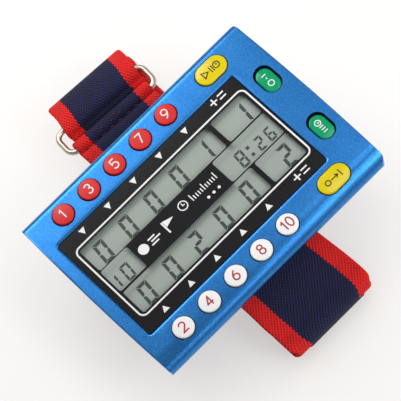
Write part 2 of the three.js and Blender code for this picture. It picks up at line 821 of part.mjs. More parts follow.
// A closed body through rings of points, either capped at both ends or closed on itself
function loft(rings, closed) {
  const sides = rings[0].length;
  const positions = rings.flat().flatMap((point) => [point.x, point.y, point.z]);
  const index = [];
  const spans = closed ? rings.length : rings.length - 1;
  for (let ring = 0; ring < spans; ring += 1) {
    const next = (ring + 1) % rings.length;
    for (let side = 0; side < sides; side += 1) {
      const turn = (side + 1) % sides;
      const a = ring * sides + side;
      const b = ring * sides + turn;
      const c = next * sides + turn;
      const d = next * sides + side;
      index.push(a, b, c, a, c, d);
    }
  }
  if (!closed) {
    const last = (rings.length - 1) * sides;
    for (let side = 1; side < sides - 1; side += 1) {
      index.push(0, side + 1, side);
      index.push(last, last + side, last + side + 1);
    }
  }
  const geometry = new THREE.BufferGeometry();
  geometry.setAttribute('position', new THREE.Float32BufferAttribute(positions, 3));
  geometry.setIndex(index);
  return geometry;
}

// Half a turn from the top to the underside, bulging to the side given
function routeArc(y, z, radius, side, leans, firstShare, lastShare) {
  const points = [];
  for (let step = 0; step <= foldSteps; step += 1) {
    const part = step / foldSteps;
    const angle = part * Math.PI;
    const share = THREE.MathUtils.lerp(firstShare, lastShare, part);
    const lean = THREE.MathUtils.lerp(leans[0], leans[1], part);
    points.push([y + side * radius * Math.sin(angle), z + radius * Math.cos(angle), lean, share]);
  }
  return points;
}

// Belt route as [y, z, sideways lean, share of the full width], from the hem's end to the tail's end.
// It turns round the loop's inner bar, crosses the channel, folds under, comes back on the table side,
// rises through the loop, lies over the outer bar and folds down again to the tail.
function beltRoute() {
  const half = caseWidth / 2;
  const hemUnder = loopLift - hemRadius;
  const drop = channelLevel - hemUnder;
  const hemPoint = (back, rise) => {
    return [innerBarY - hemLength * back, hemUnder + drop * rise, hemLean, hemShare];
  };
  const farTop = patchedLevel + 2 * farFoldRadius;
  const farRun = farFoldReach - half;
  const farY = farFoldRadius - farFoldReach;
  const patchEnd = patchLength - tailReach - patchOverhang;
  const innerFoldRadius = (underBar - lowerLevel) / 2;
  const overTo = (lean, share) => THREE.MathUtils.lerp(lean, nearLean, share);
  return [
    ...hemTopShares.map(([back, rise]) => hemPoint(back, rise + layerPitch / drop)),
    ...hemEntryShares.map(([back, rise]) => {
      return [innerBarY - hemRadius * back, loopLift + hemRadius * rise, hemLean, hemShare];
    }),
    ...routeArc(innerBarY, loopLift, hemRadius, 1, [hemLean, hemLean], hemShare, hemShare),
    ...hemUnderShares.map(([back, rise]) => hemPoint(back, rise)),
    [half, hemUnder + drop * mouthRiseShare, hemLean, hemShare],
    [half - bridgeInset, channelLevel, 0, mouthShare],
    [half / 3, channelLevel, 0, 1],
    [-half / 3, channelLevel, 0, 1],
    [bridgeInset - half, channelLevel, 0, 1],
    ...farShares.map(([past, rise, lean, share]) => {
      return [-half - farRun * past, farTop + (channelLevel - farTop) * rise, farLean * lean, share];
    }),
    ...routeArc(farY, patchedLevel + farFoldRadius, farFoldRadius, -1, [farLean, farLean], wideShare, 1),
    [patchEnd - patchLength / 2, patchedLevel, farLean, 1],
    ...patchStepShares.map(([past, rise]) => {
      const z = lowerLevel + (patchedLevel - lowerLevel) * rise;
      return [patchEnd + strapThickness * past, z, farLean, 1];
    }),
    [half / 2, lowerLevel, farLean, 1],
    [loopY - loopPitch, lowerLevel, overTo(farLean, underLeanShare), innerShare],
    ...routeArc(
      nearFoldY, lowerLevel + innerFoldRadius, innerFoldRadius, 1,
      [overTo(farLean, foldLeanShare), nearLean], innerShare, innerShare,
    ).reverse(),
    ...routeArc(
      turnY, turnZ, turnRadius, -1, [farLean, overTo(farLean, turnLeanShare)], topShare, innerShare,
    ).reverse(),
    [outerBarY - hemRadius, overBar - hemRadius / 2, farLean, topShare],
    [outerBarY - layerGap, overBar, tailLean * barLeanShare, topShare],
    ...routeArc(
      nearFoldY, tailLevel + outerFoldRadius, outerFoldRadius, 1, [tailLean, nearLean], topShare, tailShare,
    ),
    [loopY - loopPitch, tailLevel, overTo(tailLean, tailLeanShares[0]), tailShare],
    [half / 2, tailLevel, overTo(tailLean, tailLeanShares[1]), tailShare],
    [0, tailLevel, overTo(tailLean, tailLeanShares[2]), tailShare],
    [-half, tailLevel, tailLean, tailShare],
    [-tailReach, tailLevel, tailLean, tailShare],
  ];
}

// The belt and its wire loop lie slightly askew beyond the case
function skewAt(y) {
  const blend = THREE.MathUtils.smoothstep(y, caseWidth * skewStartShare, innerBarY);
  return loopSkewShare * blend;
}

function belt() {
  const route = beltRoute();
  const middle = new THREE.CatmullRomCurve3(
    route.map(([y, z, lean]) => new THREE.Vector3(strapOffset + lean, y, z)), false, 'centripetal',
  );
  const rings = [];
  const count = (route.length - 1) * strapSteps;
  for (let step = 0; step <= count; step += 1) {
    const share = step / count;
    const place = middle.getPoint(share);
    place.z = Math.max(place.z, tailLevel);
    const heading = middle.getTangent(share);
    const normal = new THREE.Vector3(0, -heading.z, heading.y).normalize();
    const at = Math.min(Math.floor(step / strapSteps), route.length - 2);
    const part = step / strapSteps - at;
    const width = strapWidth * THREE.MathUtils.lerp(route[at][3], route[at + 1][3], part);
    const skew = skewAt(place.y);
    const ring = [[-1, -1], [-1, 1], [1, 1], [1, -1]].map(([side, face]) => {
      const x = place.x + side * width / 2;
      const y = place.y + normal.y * face * strapThickness / 2 + skew * (x - loopOffset);
      const z = place.z + normal.z * face * strapThickness / 2;
      return new THREE.Vector3(x, y, z);
    });
    rings.push(ring);
  }
  return solid(loft(rings, false));
}

function hookPatch() {
  const low = strapThickness + layerGap;
  const yLow = -tailReach - patchOverhang;
  const x = strapOffset + tailLean;
  return box(
    x - patchWidth / 2, x + patchWidth / 2, yLow, yLow + patchLength, low, low + patchThickness,
  );
}

// Rounded rectangle of round wire, its long bars across the belt
function wireLoop() {
  const halfX = loopLength / 2 - loopCornerRadius;
  const halfY = loopPitch / 2 - loopCornerRadius;
  const rings = [];
  const corners = [[1, 1], [-1, 1], [-1, -1], [1, -1]];
  corners.forEach(([xSide, ySide], corner) => {
    for (let step = 0; step <= loopCornerSteps; step += 1) {
      const angle = (corner + step / loopCornerSteps) * Math.PI / 2;
      const outward = new THREE.Vector3(Math.cos(angle), Math.sin(angle), 0);
      const centre = new THREE.Vector3(xSide * halfX, ySide * halfY, 0);
      centre.addScaledVector(outward, loopCornerRadius);
      const ring = [];
      for (let side = 0; side < wireSides; side += 1) {
        const turn = side * 2 * Math.PI / wireSides;
        const point = centre.clone().addScaledVector(outward, wireRadius * Math.cos(turn));
        point.z -= wireRadius * Math.sin(turn);
        ring.push(point);
      }
      rings.push(ring);
    }
  });
  const geometry = loft(rings, true);
  geometry.rotateZ(Math.atan(loopSkewShare));
  geometry.translate(loopOffset, loopY, loopLift);
  return solid(geometry);
}

addPiece('front_case', frontCase(), colours.caseBlue, finishes.paint);
addPiece('rear_case', backCase(), colours.backBlue, finishes.plastic);
addPiece('display_lens', displayLens(), colours.black, finishes.plastic);
addPiece('display_panel', displayPanel(), colours.glass, finishes.plastic);
addPiece('display_holder', displayHolder(), colours.holder, finishes.plastic);
addPiece('contact_strip_upper', zebraStrip(zebraY), colours.rubber, finishes.plastic);
addPiece('contact_strip_lower', zebraStrip(-zebraY), colours.rubber, finishes.plastic);
addPiece('circuit_board', circuitBoard(), colours.board, finishes.plastic);
addPiece('processor_chip', chip(), colours.chip, finishes.plastic);
addPiece('buzzer_disc', buzzerDisc(), colours.brass, finishes.metal);
addPiece('coin_cell', coinCell(), colours.cell, finishes.metal);
addPiece('cell_spring_contact', springContact(), colours.steel, finishes.metal);
addPiece('cell_side_contact', sideContact(), colours.steel, finishes.metal);
addPiece('battery_door', batteryDoor(), colours.backBlue, finishes.plastic);
for (const key of keys) {
  addPiece(key.name, key.round ? roundKey(key) : ovalKey(key), key.colour, finishes.plastic);
  addPiece(key.name.replace('key', 'switch'), tactSwitch(key), colours.chip, finishes.plastic);
}
screwPlaces.forEach(([x, y], place) => {
  addPiece(`case_screw_${place + 1}`, screw(x, y), colours.steel, finishes.metal);
});
addPiece('belt', belt(), colours.webbing, finishes.cloth);
addPiece('hook_patch', hookPatch(), colours.hook, finishes.cloth);
addPiece('belt_loop', wireLoop(), colours.wire, finishes.metal);

export default model;
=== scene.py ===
import math
from functools import partial

import bmesh
import bpy
import numpy as np
from mathutils import Matrix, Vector
from mathutils.bvhtree import BVHTree
from mathutils.geometry import delaunay_2d_cdt


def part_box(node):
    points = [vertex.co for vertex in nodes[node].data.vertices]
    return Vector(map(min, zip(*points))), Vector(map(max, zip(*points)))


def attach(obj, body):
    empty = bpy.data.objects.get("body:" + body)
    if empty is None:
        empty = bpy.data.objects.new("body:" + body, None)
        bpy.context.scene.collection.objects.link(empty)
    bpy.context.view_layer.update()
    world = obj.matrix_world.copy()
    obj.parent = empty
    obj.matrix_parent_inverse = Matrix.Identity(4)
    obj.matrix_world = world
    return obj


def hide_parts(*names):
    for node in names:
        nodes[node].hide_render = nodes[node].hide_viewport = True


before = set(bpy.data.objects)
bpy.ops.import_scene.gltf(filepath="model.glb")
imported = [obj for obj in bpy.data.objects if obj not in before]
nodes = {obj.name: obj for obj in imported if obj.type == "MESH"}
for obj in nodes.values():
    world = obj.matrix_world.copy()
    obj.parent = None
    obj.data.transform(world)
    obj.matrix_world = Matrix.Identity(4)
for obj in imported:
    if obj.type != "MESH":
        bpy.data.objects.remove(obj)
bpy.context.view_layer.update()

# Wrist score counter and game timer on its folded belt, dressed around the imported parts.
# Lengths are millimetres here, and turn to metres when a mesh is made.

mm = 0.001
windowX = -4.2  # middle of the display window


# Small helpers for nodes and colours

# sRGB hex turned to linear red, green, blue and alpha
def linear(hexColour):
    parts = [int(hexColour[i:i + 2], 16) / 255 for i in (1, 3, 5)]
    return [p / 12.92 if p <= 0.04045 else ((p + 0.055) / 1.055) ** 2.4 for p in parts] + [1.0]


# One node with its settings and inputs; a short name means a shader node. Inputs go by name, or
# in order among those in use. Each is a value, a hex colour, a socket, or a node, of which the
# first output in use is taken. "From" and "To" give Map Range both its ends.
def addNode(tree, kind, inputs=(), **settings):
    node = tree.nodes.new(kind if "Node" in kind else "ShaderNode" + kind)
    for name, value in settings.items():
        setattr(node, name, value)
    if isinstance(inputs, dict):
        pairs = []
        for name, value in inputs.items():
            if name in ("From", "To"):
                pairs += zip((node.inputs[name + " Min"], node.inputs[name + " Max"]), value)
            else:
                pairs.append((node.inputs[name], value))
    else:
        pairs = zip([s for s in node.inputs if s.enabled], inputs)
    for socket, value in pairs:
        if isinstance(value, bpy.types.Node):
            value = next(o for o in value.outputs if o.enabled)
        if isinstance(value, bpy.types.NodeSocket):
            tree.links.new(value, socket)
        else:
            isHex = isinstance(value, str) and value.startswith("#")
            socket.default_value = linear(value) if isHex else value
    return node


# texture scale for a pattern that repeats every so many millimetres; a wave texture draws its
# bands closer, at about a third of that
def every(millimetres):
    return 1000 / millimetres


# a material: the recipe adds nodes on the object's own coordinates, and returns the shader's
# inputs or a last node of its own
def newFinish(recipe, name, *values):
    finish = bpy.data.materials.new(name)
    finish.use_nodes = True
    finish.node_tree.nodes.clear()
    add = partial(addNode, finish.node_tree)
    made = recipe(add, add("TexCoord").outputs["Object"], *values)
    last = add("BsdfPrincipled", made) if isinstance(made, dict) else made
    add("OutputMaterial", (last,))
    return finish


# painted shade in gaps: a level that falls where less than so much of the sky within reach is open
def dustLevel(add, reach, openness, levels):
    gap = add("AmbientOcclusion", {"Distance": reach * mm}, samples=8)
    return add("MapRange", {"Value": gap.outputs["AO"], "From": openness, "To": levels})


# Finishes

# Pearl lacquer sprayed over moulded ABS: mica flakes under a clear coat, so the blue sparkles
# finely and brightens broadly towards the light. Flakes are really 0.03 mm, drawn at 0.22 mm.
def pearlLacquer(add, place, base, bright, deep):
    flakes = add("TexVoronoi", (place, every(0.22)))
    pick = add("SeparateColor", (flakes.outputs["Color"],)).outputs
    cloud = add("TexNoise", (place, every(9.0), 3.0))
    lift = add("MapRange", {"Value": pick["Red"], "From": (0.3, 1.0), "To": (0.0, 0.42)})
    sink = add("MapRange", {"Value": cloud, "From": (0.35, 0.7), "To": (0.0, 0.2)})
    first = add("Mix", (lift, base, bright), data_type="RGBA")
    tint = add("Mix", (sink, first, deep), data_type="RGBA")
    rough = add("MapRange", {"Value": pick["Green"], "To": (0.28, 0.38)})
    soft = add("Bevel", {"Radius": 0.18 * mm}, samples=4)
    # the near long edge rolls over more gently than the far one, most so at its right end:
    # normals lean out before it
    split = add("SeparateXYZ", (place,)).outputs
    rise = add("MapRange", {"Value": split["Y"], "From": (-26.5 * mm, -31.2 * mm)},
               interpolation_type="SMOOTHSTEP")
    most = add("MapRange", {"Value": split["X"], "From": (-46 * mm, 30 * mm), "To": (-0.3, -0.62)})
    fall = add("MapRange", {"Value": split["Y"], "From": (-31.2 * mm, -34.0 * mm), "To": (most, 0.0)})
    lean = add("Math", (rise, fall), operation="MULTIPLY")
    outward = add("CombineXYZ", {"Y": lean})
    rolled = add("VectorMath", (soft, outward), operation="ADD")
    evened = add("VectorMath", (rolled,), operation="NORMALIZE")
    relief = add("Bump", {
        "Height": pick["Blue"], "Strength": 0.06, "Distance": 0.02 * mm, "Normal": evened})
    # painted shade: the lacquer darkens where gaps close in, round the keys and the window
    paintedShade = dustLevel(add, 0.7, (0.4, 0.85), (0.3, 1.0))
    toneAndPaintedShade = add("VectorMath", (tint, paintedShade), operation="SCALE")
    return {"Base Color": toneAndPaintedShade, "Roughness": rough, "Normal": relief, "Metallic": 0.94,
            "Coat Weight": 0.12, "Coat Roughness": 0.3}


# Injection-moulded ABS or PP with the fine grain of a spark-eroded tool: dull, even, softly lit.
def mouldedPlastic(add, place, colour, roughness):
    cells = add("TexNoise", (place, every(0.25), 2.0))
    patches = add("TexNoise", (place, every(6.0), 2.0))
    shade = add("MapRange", {"Value": patches, "From": (0.3, 0.7), "To": (0.92, 1.08)})
    tint = add("VectorMath", (linear(colour)[:3], shade), operation="SCALE")
    rough = add("MapRange", {"Value": cells, "To": (roughness - 0.08, roughness + 0.08)})
    soft = add("Bevel", {"Radius": 0.12 * mm}, samples=4)
    bump = add("Bump", {"Height": cells, "Strength": 0.15, "Distance": 0.03 * mm, "Normal": soft})
    return {"Base Color": tint, "Roughness": rough, "Normal": bump}


# Key caps: dyed ABS from a polished tool, satin gloss with a faint orange peel and finger polish; painted
# shade darkens the flank down in the gap.
def keyPlastic(add, place, colour, worn, roughness):
    peel = add("TexNoise", (place, every(0.9), 1.0))
    rub = add("TexNoise", (place, every(4.0), 4.0))
    tint = add("Mix", (rub, colour, worn), data_type="RGBA")
    rough = add("MapRange", {
        "Value": rub, "From": (0.3, 0.7), "To": (roughness - 0.06, roughness + 0.1)})
    bump = add("Bump", {"Height": peel, "Strength": 0.12, "Distance": 0.03 * mm})
    # painted shade on the flank, where the gap round the cap closes in
    paintedShade = dustLevel(add, 0.9, (0.45, 0.85), (0.2, 1.0))
    toneAndPaintedShade = add("VectorMath", (tint, paintedShade), operation="SCALE")
    return {"Base Color": toneAndPaintedShade, "Roughness": rough, "Normal": bump}


# Pad-printing ink: thin, slightly uneven cover with a dull surface.
def padInk(add, place, colour, thin, roughness=0.5):
    cover = add("TexNoise", (place, every(0.35), 3.0))
    gain = add("MapRange", {"Value": cover, "From": (0.45, 0.8), "To": (0.0, 0.5)})
    tint = add("Mix", (gain, colour, thin), data_type="RGBA")
    return {"Base Color": tint, "Roughness": roughness}


# Black screen print seen through polished acrylic: nearly black, it mirrors the room faintly.
def screenPrint(add, place, colour, haze):
    cloud = add("TexNoise", (place, every(14.0), 4.0))
    specks = add("TexNoise", (place, every(0.6), 2.0))
    tint = add("Mix", (cloud, colour, haze), data_type="RGBA")
    rough = add("MapRange", {"Value": specks, "From": (0.3, 0.8), "To": (0.1, 0.18)})
    return {"Base Color": tint, "Roughness": rough}


# Clear polished acrylic: lets the display through and mirrors a little at low angles.
def clearAcrylic(add, place):
    smears = add("TexNoise", (place, every(7.0), 5.0))
    rough = add("MapRange", {"Value": smears, "From": (0.4, 0.8), "To": (0.03, 0.12)})
    shine = add("BsdfGlossy", {"Color": (1, 1, 1, 1), "Roughness": rough})
    clear = add("BsdfTransparent", {"Color": (0.985, 0.99, 0.985, 1)})
    # only the faces that meet the light from outside mirror it, since a clear face bends no ray
    edge = add("Fresnel", {"IOR": 1.35})
    inside = add("NewGeometry").outputs["Backfacing"]
    outside = add("Math", (1.0, inside), operation="SUBTRACT")
    share = add("Math", (edge, outside), operation="MULTIPLY")
    return add("MixShader", (share, clear, shine))


# Display glass over a grained reflector: grey-green, matt, in two tones that change slowly.
def displayGlass(add, place, light, dark):
    grain = add("TexNoise", (place, every(0.3), 2.0))
    sweep = add("TexNoise", (place, every(40.0), 1.0))
    tint = add("Mix", (sweep, light, dark), data_type="RGBA")
    gain = add("MapRange", {"Value": grain, "To": (0.94, 1.06)})
    lit = add("VectorMath", (tint, gain), operation="SCALE")
    return {"Base Color": lit, "Roughness": 0.42}


# Elastic twill webbing: navy ground with red edge stripes. UV holds the place on the cloth in
# millimetres, across and along. The yarns cross in slanting rows; real ones lie about 0.6 mm
# apart, these about 1.1 mm, so that the photograph's size still shows them.
def twillWebbing(add, place, webbing):
    cloth = add("UVMap", uv_map="cloth")
    split = add("SeparateXYZ", (cloth,)).outputs
    across = split["X"]
    shift = add("Math", (across, 1 / webbing["ribAcross"]), operation="MULTIPLY")
    run = add("Math", (split["Y"], 1 / webbing["ribAlong"]), operation="MULTIPLY")
    valleys = []
    for slant in ("ADD", "SUBTRACT"):
        lane = add("Math", (run, shift), operation=slant)
        turn = add("Math", (lane, 2 * math.pi), operation="MULTIPLY")
        wave = add("Math", (turn,), operation="COSINE")
        valleys.append(add("Math", (wave, 0.5, 0.5), operation="MULTIPLY_ADD"))
    pits = add("Math", valleys, operation="MULTIPLY")
    dark = add("Math", (valleys[0], 0.35, pits), operation="MULTIPLY_ADD")
    ribs = add("Math", (1.0, dark), operation="SUBTRACT", use_clamp=True)
    # the stripe's border steps from thread to thread
    step = add("Math", (run, 0.5), operation="PINGPONG")
    saw = add("Math", (step, webbing["sawDepth"]), operation="MULTIPLY")
    reach = add("Math", (across,), operation="ABSOLUTE")
    edge = add("Math", (reach, saw), operation="ADD")
    border = webbing["stripeFrom"]
    inRed = add("MapRange", {"Value": edge, "From": (border - 0.08, border + 0.08)})
    fuzz = add("TexNoise", (place, every(0.4), 4.0))
    blotch = add("TexNoise", (place, every(5.0), 3.0))
    navy = add("Mix", (ribs, "#02031a", "#1c204f"), data_type="RGBA")
    red = add("Mix", (ribs, "#d20f12", "#ff1f18"), data_type="RGBA")
    dyed = add("Mix", (inRed, navy, red), data_type="RGBA")
    worn = add("MapRange", {"Value": blotch, "From": (0.3, 0.7), "To": (0.88, 1.12)})
    # painted shade: deep folds darken, as little light reaches them
    paintedShade = dustLevel(add, 1.6, (0.2, 0.75), (0.3, 1.0))
    toneAndPaintedShade = add("Math", (worn, paintedShade), operation="MULTIPLY")
    tint = add("VectorMath", (dyed, toneAndPaintedShade), operation="SCALE")
    height = add("Math", (fuzz, 0.35), operation="MULTIPLY")
    total = add("Math", (ribs, height), operation="ADD")
    bump = add("Bump", {"Height": total, "Strength": 0.9, "Distance": 0.22 * mm})
    return {"Base Color": tint, "Normal": bump, "Roughness": 0.85,
            "Sheen Weight": 0.03, "Sheen Roughness": 0.5}


# Nylon hook tape: black woven ground under rows of tiny bent bristles, 1.3 mm apart.
def hookTape(add, place, ground, bristle):
    rows = add("TexVoronoi", {"Vector": place, "Scale": every(1.3), "Randomness": 0.3})
    tint = add("Mix", (rows, bristle, ground), data_type="RGBA")
    bump = add("Bump", {"Height": rows, "Strength": 0.8, "Distance": 0.3 * mm}, invert=True)
    return {"Base Color": tint, "Normal": bump, "Roughness": 0.6}


# Sewing thread, twisted polyester: soft sheen, colour uneven along the twist.
def sewingThread(add, place, colour, dark):
    twist = add("TexWave", (place, every(0.9), 1.0), bands_direction="DIAGONAL")
    tint = add("Mix", (twist.outputs["Fac"], dark, colour), data_type="RGBA")
    return {"Base Color": tint, "Roughness": 0.6}


# Nickel-plated or rolled metal: fine drawing lines and small dull patches, default IOR.
def platedMetal(add, place, colour, dull, roughness, line, along):
    patches = add("TexNoise", (place, every(2.5), 5.0))
    lines = add("TexWave", (place, every(line), 6.0, 2.0), bands_direction=along)
    tint = add("Mix", (patches, colour, dull), data_type="RGBA")
    rough = add("MapRange", {
        "Value": patches, "From": (0.3, 0.7), "To": (roughness - 0.08, roughness + 0.12)})
    bump = add("Bump", {"Height": lines.outputs["Fac"], "Strength": 0.08, "Distance": 0.02 * mm})
    return {"Base Color": tint, "Roughness": rough, "Normal": bump, "Metallic": 1.0}


# Glass-fibre board: green solder mask over copper tracks, which show as paler raised bands.
def solderMask(add, place, mask, paler, track):
    tracks = add("TexBrick", {
        "Vector": place, "Scale": every(1.0), "Mortar Size": 0.16, "Brick Width": 5.0,
        "Row Height": 1.3, "Color1": mask, "Color2": paler, "Mortar": track})
    weave = add("TexNoise", (place, every(0.5), 2.0))
    bump = add("Bump", {"Height": tracks.outputs["Fac"], "Strength": 0.3, "Distance": 0.04 * mm})
    rough = add("MapRange", {"Value": weave, "To": (0.28, 0.45)})
    return {"Base Color": tracks, "Roughness": rough, "Normal": bump}


# Conductive rubber strip: thin carbon layers between clear ones, 0.2 mm apart, drawn at 1.1 mm.
def layeredRubber(add, place, carbon, clear):
    layers = add("TexWave", (place, every(3.6)))
    tint = add("Mix", (layers.outputs["Fac"], carbon, clear), data_type="RGBA")
    return {"Base Color": tint, "Roughness": 0.7}


# each finish: recipe, name and the recipe's own colours, roughness and line spacing
recipes = {
    "caseBlue": (pearlLacquer, "pearl_lacquer_blue", "#2678c4", "#58a8e8", "#1457aa"),
    "backBlue": (mouldedPlastic, "moulded_plastic_blue", "#1f5cab", 0.48),
    "red": (keyPlastic, "key_plastic_red", "#d80609", "#de0c0e", 0.42),
    "white": (keyPlastic, "key_plastic_white", "#fdfdfc", "#ffffff", 0.3),
    "yellow": (keyPlastic, "key_plastic_yellow", "#e8d400", "#f0d804", 0.12),
    "green": (keyPlastic, "key_plastic_green", "#00a268", "#00aa70", 0.1),
    "whiteInk": (padInk, "pad_ink_white", "#fbfbfb", "#e8e8ec"),
    "palePink": (padInk, "pad_ink_pale", "#fbeeea", "#f6dcd6"),
    "redInk": (padInk, "pad_ink_red", "#bc2434", "#c83c4a"),
    "brownInk": (padInk, "pad_ink_brown", "#35260f", "#4a3a18"),
    "blackPrint": (screenPrint, "screen_print_black", "#0e0e10", "#1c1c20"),
    "acrylic": (clearAcrylic, "clear_acrylic"),
    "display": (displayGlass, "display_glass", "#aeb6b1", "#a1a9a4"),
    "segment": (padInk, "display_segments", "#343c39", "#3c4541", 0.4),
    "hook": (hookTape, "hook_tape_black", "#101013", "#2c2c30"),
    "redThread": (sewingThread, "thread_red", "#8c1a28", "#4c1020"),
    "wire": (platedMetal, "nickel_plated_wire", "#e0d9cb", "#cbc3b4", 0.38, 3.0, "X"),
    "steel": (platedMetal, "nickel_plated_steel", "#c4c6c9", "#a9abaf", 0.3, 1.8, "X"),
    "cell": (platedMetal, "cell_can_steel", "#cfd1d3", "#b8babd", 0.28, 1.5, "X"),
    "brass": (platedMetal, "rolled_brass", "#cfa950", "#b8923f", 0.32, 2.4, "Y"),
    "board": (solderMask, "solder_mask_green", "#1c5c3d", "#1f6b46", "#35935f"),
    "strip": (layeredRubber, "layered_rubber", "#1d1d1f", "#6e7173"),
    "holder": (mouldedPlastic, "moulded_plastic_white", "#dcdcd8", 0.5),
    "chip": (mouldedPlastic, "moulded_epoxy_black", "#1d1d1f", 0.6),
    "switch": (mouldedPlastic, "moulded_plastic_black", "#26272a", 0.45),
}
finishes = {key: newFinish(*recipe) for key, recipe in recipes.items()}
print("finishes made:", len(finishes))


# CAD nodes that stay: their finishes, and shading that keeps flats flat and rounds round

nodeFinishes = {
    "caseBlue": ["front_case"], "backBlue": ["rear_case", "battery_door"],
    "display": ["display_panel"], "holder": ["display_holder"],
    "strip": ["contact_strip_upper", "contact_strip_lower"],
    "board": ["circuit_board"], "chip": ["processor_chip"], "brass": ["buzzer_disc"],
    "cell": ["coin_cell"],
    "steel": ["cell_spring_contact", "cell_side_contact"] + [f"case_screw_{n}" for n in range(1, 5)],
    "switch": [name for name in nodes if name.startswith("switch_")],
}
shading = {"sharp": 28, "weld": 0.002, "flat": 0.4, "faceWeight": 80}  # angles in degrees


# node group: drop the stored normals, shade smooth, keep edges sharper than the angle as edges
def shadingGroup(angle):
    group = bpy.data.node_groups.new("shade_by_angle", "GeometryNodeTree")
    for way in ("INPUT", "OUTPUT"):
        group.interface.new_socket("Geometry", in_out=way, socket_type="NodeSocketGeometry")
    add = partial(addNode, group)
    start = add("NodeGroupInput")
    bare = add("GeometryNodeRemoveAttribute", {"Geometry": start, "Name": "custom_normal"})
    smooth = add("GeometryNodeSetShadeSmooth", {"Geometry": bare, "Shade Smooth": True}, domain="FACE")
    bend = add("GeometryNodeInputMeshEdgeAngle")
    sharp = add("FunctionNodeCompare", (bend, angle), operation="GREATER_THAN")
    edges = add("GeometryNodeSetShadeSmooth", {
        "Geometry": smooth, "Selection": sharp, "Shade Smooth": False}, domain="EDGE")
    add("NodeGroupOutput", (edges,))
    return group


shadeByAngle = shadingGroup(math.radians(shading["sharp"]))


# corners welded, flats made one face, then shading by angle with normals weighted by face size
def dressNode(node, finish):
    node.data.materials.clear()
    node.data.materials.append(finish)
    weld = node.modifiers.new("weld", "WELD")
    weld.merge_threshold = shading["weld"] * mm
    flats = node.modifiers.new("flats", "DECIMATE")
    flats.decimate_type = "DISSOLVE"
    flats.angle_limit = math.radians(shading["flat"])
    shade = node.modifiers.new("shade", "NODES")
    shade.node_group = shadeByAngle
    weight = node.modifiers.new("weight", "WEIGHTED_NORMAL")
    weight.weight = shading["faceWeight"]
    weight.keep_sharp = True


for finish, names in nodeFinishes.items():
    for name in names:
        dressNode(nodes[name], finishes[finish])
print("CAD nodes dressed")


# Mesh helpers: every body is (points in mm, faces), and a piece joins its bodies

doublesWithin, sliversUnder = 0.0005 * mm, 0.0002 * mm
mitreLimit = 0.5  # a mitre reaches at most twice half the band's width


# a body from rows of points: the rows follow each other along it, each runs round it
def gridBody(grid, wrapRows=False, capEnds=True):
    grid = np.stack(grid)
    rows, columns = grid.shape[:2]
    index = np.arange(rows * columns).reshape(rows, columns)
    index = np.hstack([index, index[:, :1]])
    if wrapRows:
        index = np.vstack([index, index[:1]])
    quads = np.stack([index[:-1, :-1], index[:-1, 1:], index[1:, 1:], index[1:, :-1]], -1)
    faces = quads.reshape(-1, 4).tolist()
    if capEnds and not wrapRows:
        faces += [index[0, :columns][::-1].tolist(), index[-1, :columns].tolist()]
    return grid.reshape(-1, 3), faces


# vectors of length 1
def unit(vectors):
    return vectors / np.linalg.norm(vectors, axis=-1, keepdims=True)


# a flat outline at a height
def level(outline, height):
    return np.column_stack([outline, np.full(len(outline), height)])


# an upright body on a flat outline, between two heights
def prism(outline, low, high):
    return gridBody([level(outline, low), level(outline, high)])


# a band of even width along a flat path, mitred at its bends, as an outline or a closed ring;
# it may follow a surface whose height is a function of x and y
def band(path, width, low, high, closed=False, surface=None):
    path = np.asarray(path, float)
    ahead = np.roll(path, -1, 0) - path
    behind = path - np.roll(path, 1, 0)
    if not closed:
        ahead[-1], behind[0] = behind[-1], ahead[0]
    ahead, behind = unit(ahead), unit(behind)
    across = unit(np.column_stack([-(ahead + behind)[:, 1], (ahead + behind)[:, 0]]))
    square = np.column_stack([-ahead[:, 1], ahead[:, 0]])
    reach = width / 2 / np.maximum((across * square).sum(1, keepdims=True), mitreLimit)
    left, right = path + across * reach, path - across * reach
    rails = []
    for side, height in ((left, low), (left, high), (right, high), (right, low)):
        rails.append(level(side, height + (surface(*side.T) if surface else 0)))
    return gridBody(np.stack(rails, 1), wrapRows=closed)


# points on an arc, angles in degrees
def arc(x, y, radius, start, end, steps=24, squash=1.0):
    angle = np.radians(np.linspace(start, end, steps + 1))
    return np.column_stack([x + radius * np.cos(angle), y + radius * squash * np.sin(angle)])


# points on a whole circle, the last one left out
def ringPath(x, y, radius, steps=40):
    return arc(x, y, radius, 0, 360, steps)[:-1]


# a rectangle with round corners, anticlockwise
def roundedRectangle(left, right, bottom, top, radius, steps=8):
    return np.vstack([
        arc(right - radius, bottom + radius, radius, -90, 0, steps),
        arc(right - radius, top - radius, radius, 0, 90, steps),
        arc(left + radius, top - radius, radius, 90, 180, steps),
        arc(left + radius, bottom + radius, radius, 180, 270, steps),
    ])


# bodies of shapes about a middle; a shape is its points and its line's width, or 0 where it is
# filled, then True where the line closes
def drawn(shapes, x, y, low, high):
    bodies = []
    for path, width, *closed in shapes:
        flat = np.asarray(path, float) + (x, y)
        bodies.append(band(flat, width, low, high, *closed) if width else prism(flat, low, high))
    return bodies


# lowest and highest corner of a CAD node in mm
def corners(name):
    return np.array(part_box(name)) / mm


def addObject(name, data):
    made = bpy.data.objects.new(name, data)
    bpy.context.scene.collection.objects.link(made)
    return made


# turns the faces outward, after merging doubles if asked
def outwardFaces(mesh, merge=True):
    work = bmesh.new()
    work.from_mesh(mesh)
    if merge:
        bmesh.ops.remove_doubles(work, verts=work.verts, dist=doublesWithin)
        bmesh.ops.dissolve_degenerate(work, dist=sliversUnder, edges=work.edges)
    bmesh.ops.recalc_face_normals(work, faces=work.faces)
    work.to_mesh(mesh)
    work.free()


# the piece, what it rides on and which node it stands for; its slot is not used
def finishPiece(mesh, finish, rides="case", replaced=None, slot=None):
    mesh.materials.append(finishes[finish])
    piece = addObject(mesh.name, mesh)
    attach(piece, rides)
    if replaced:
        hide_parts(replaced)


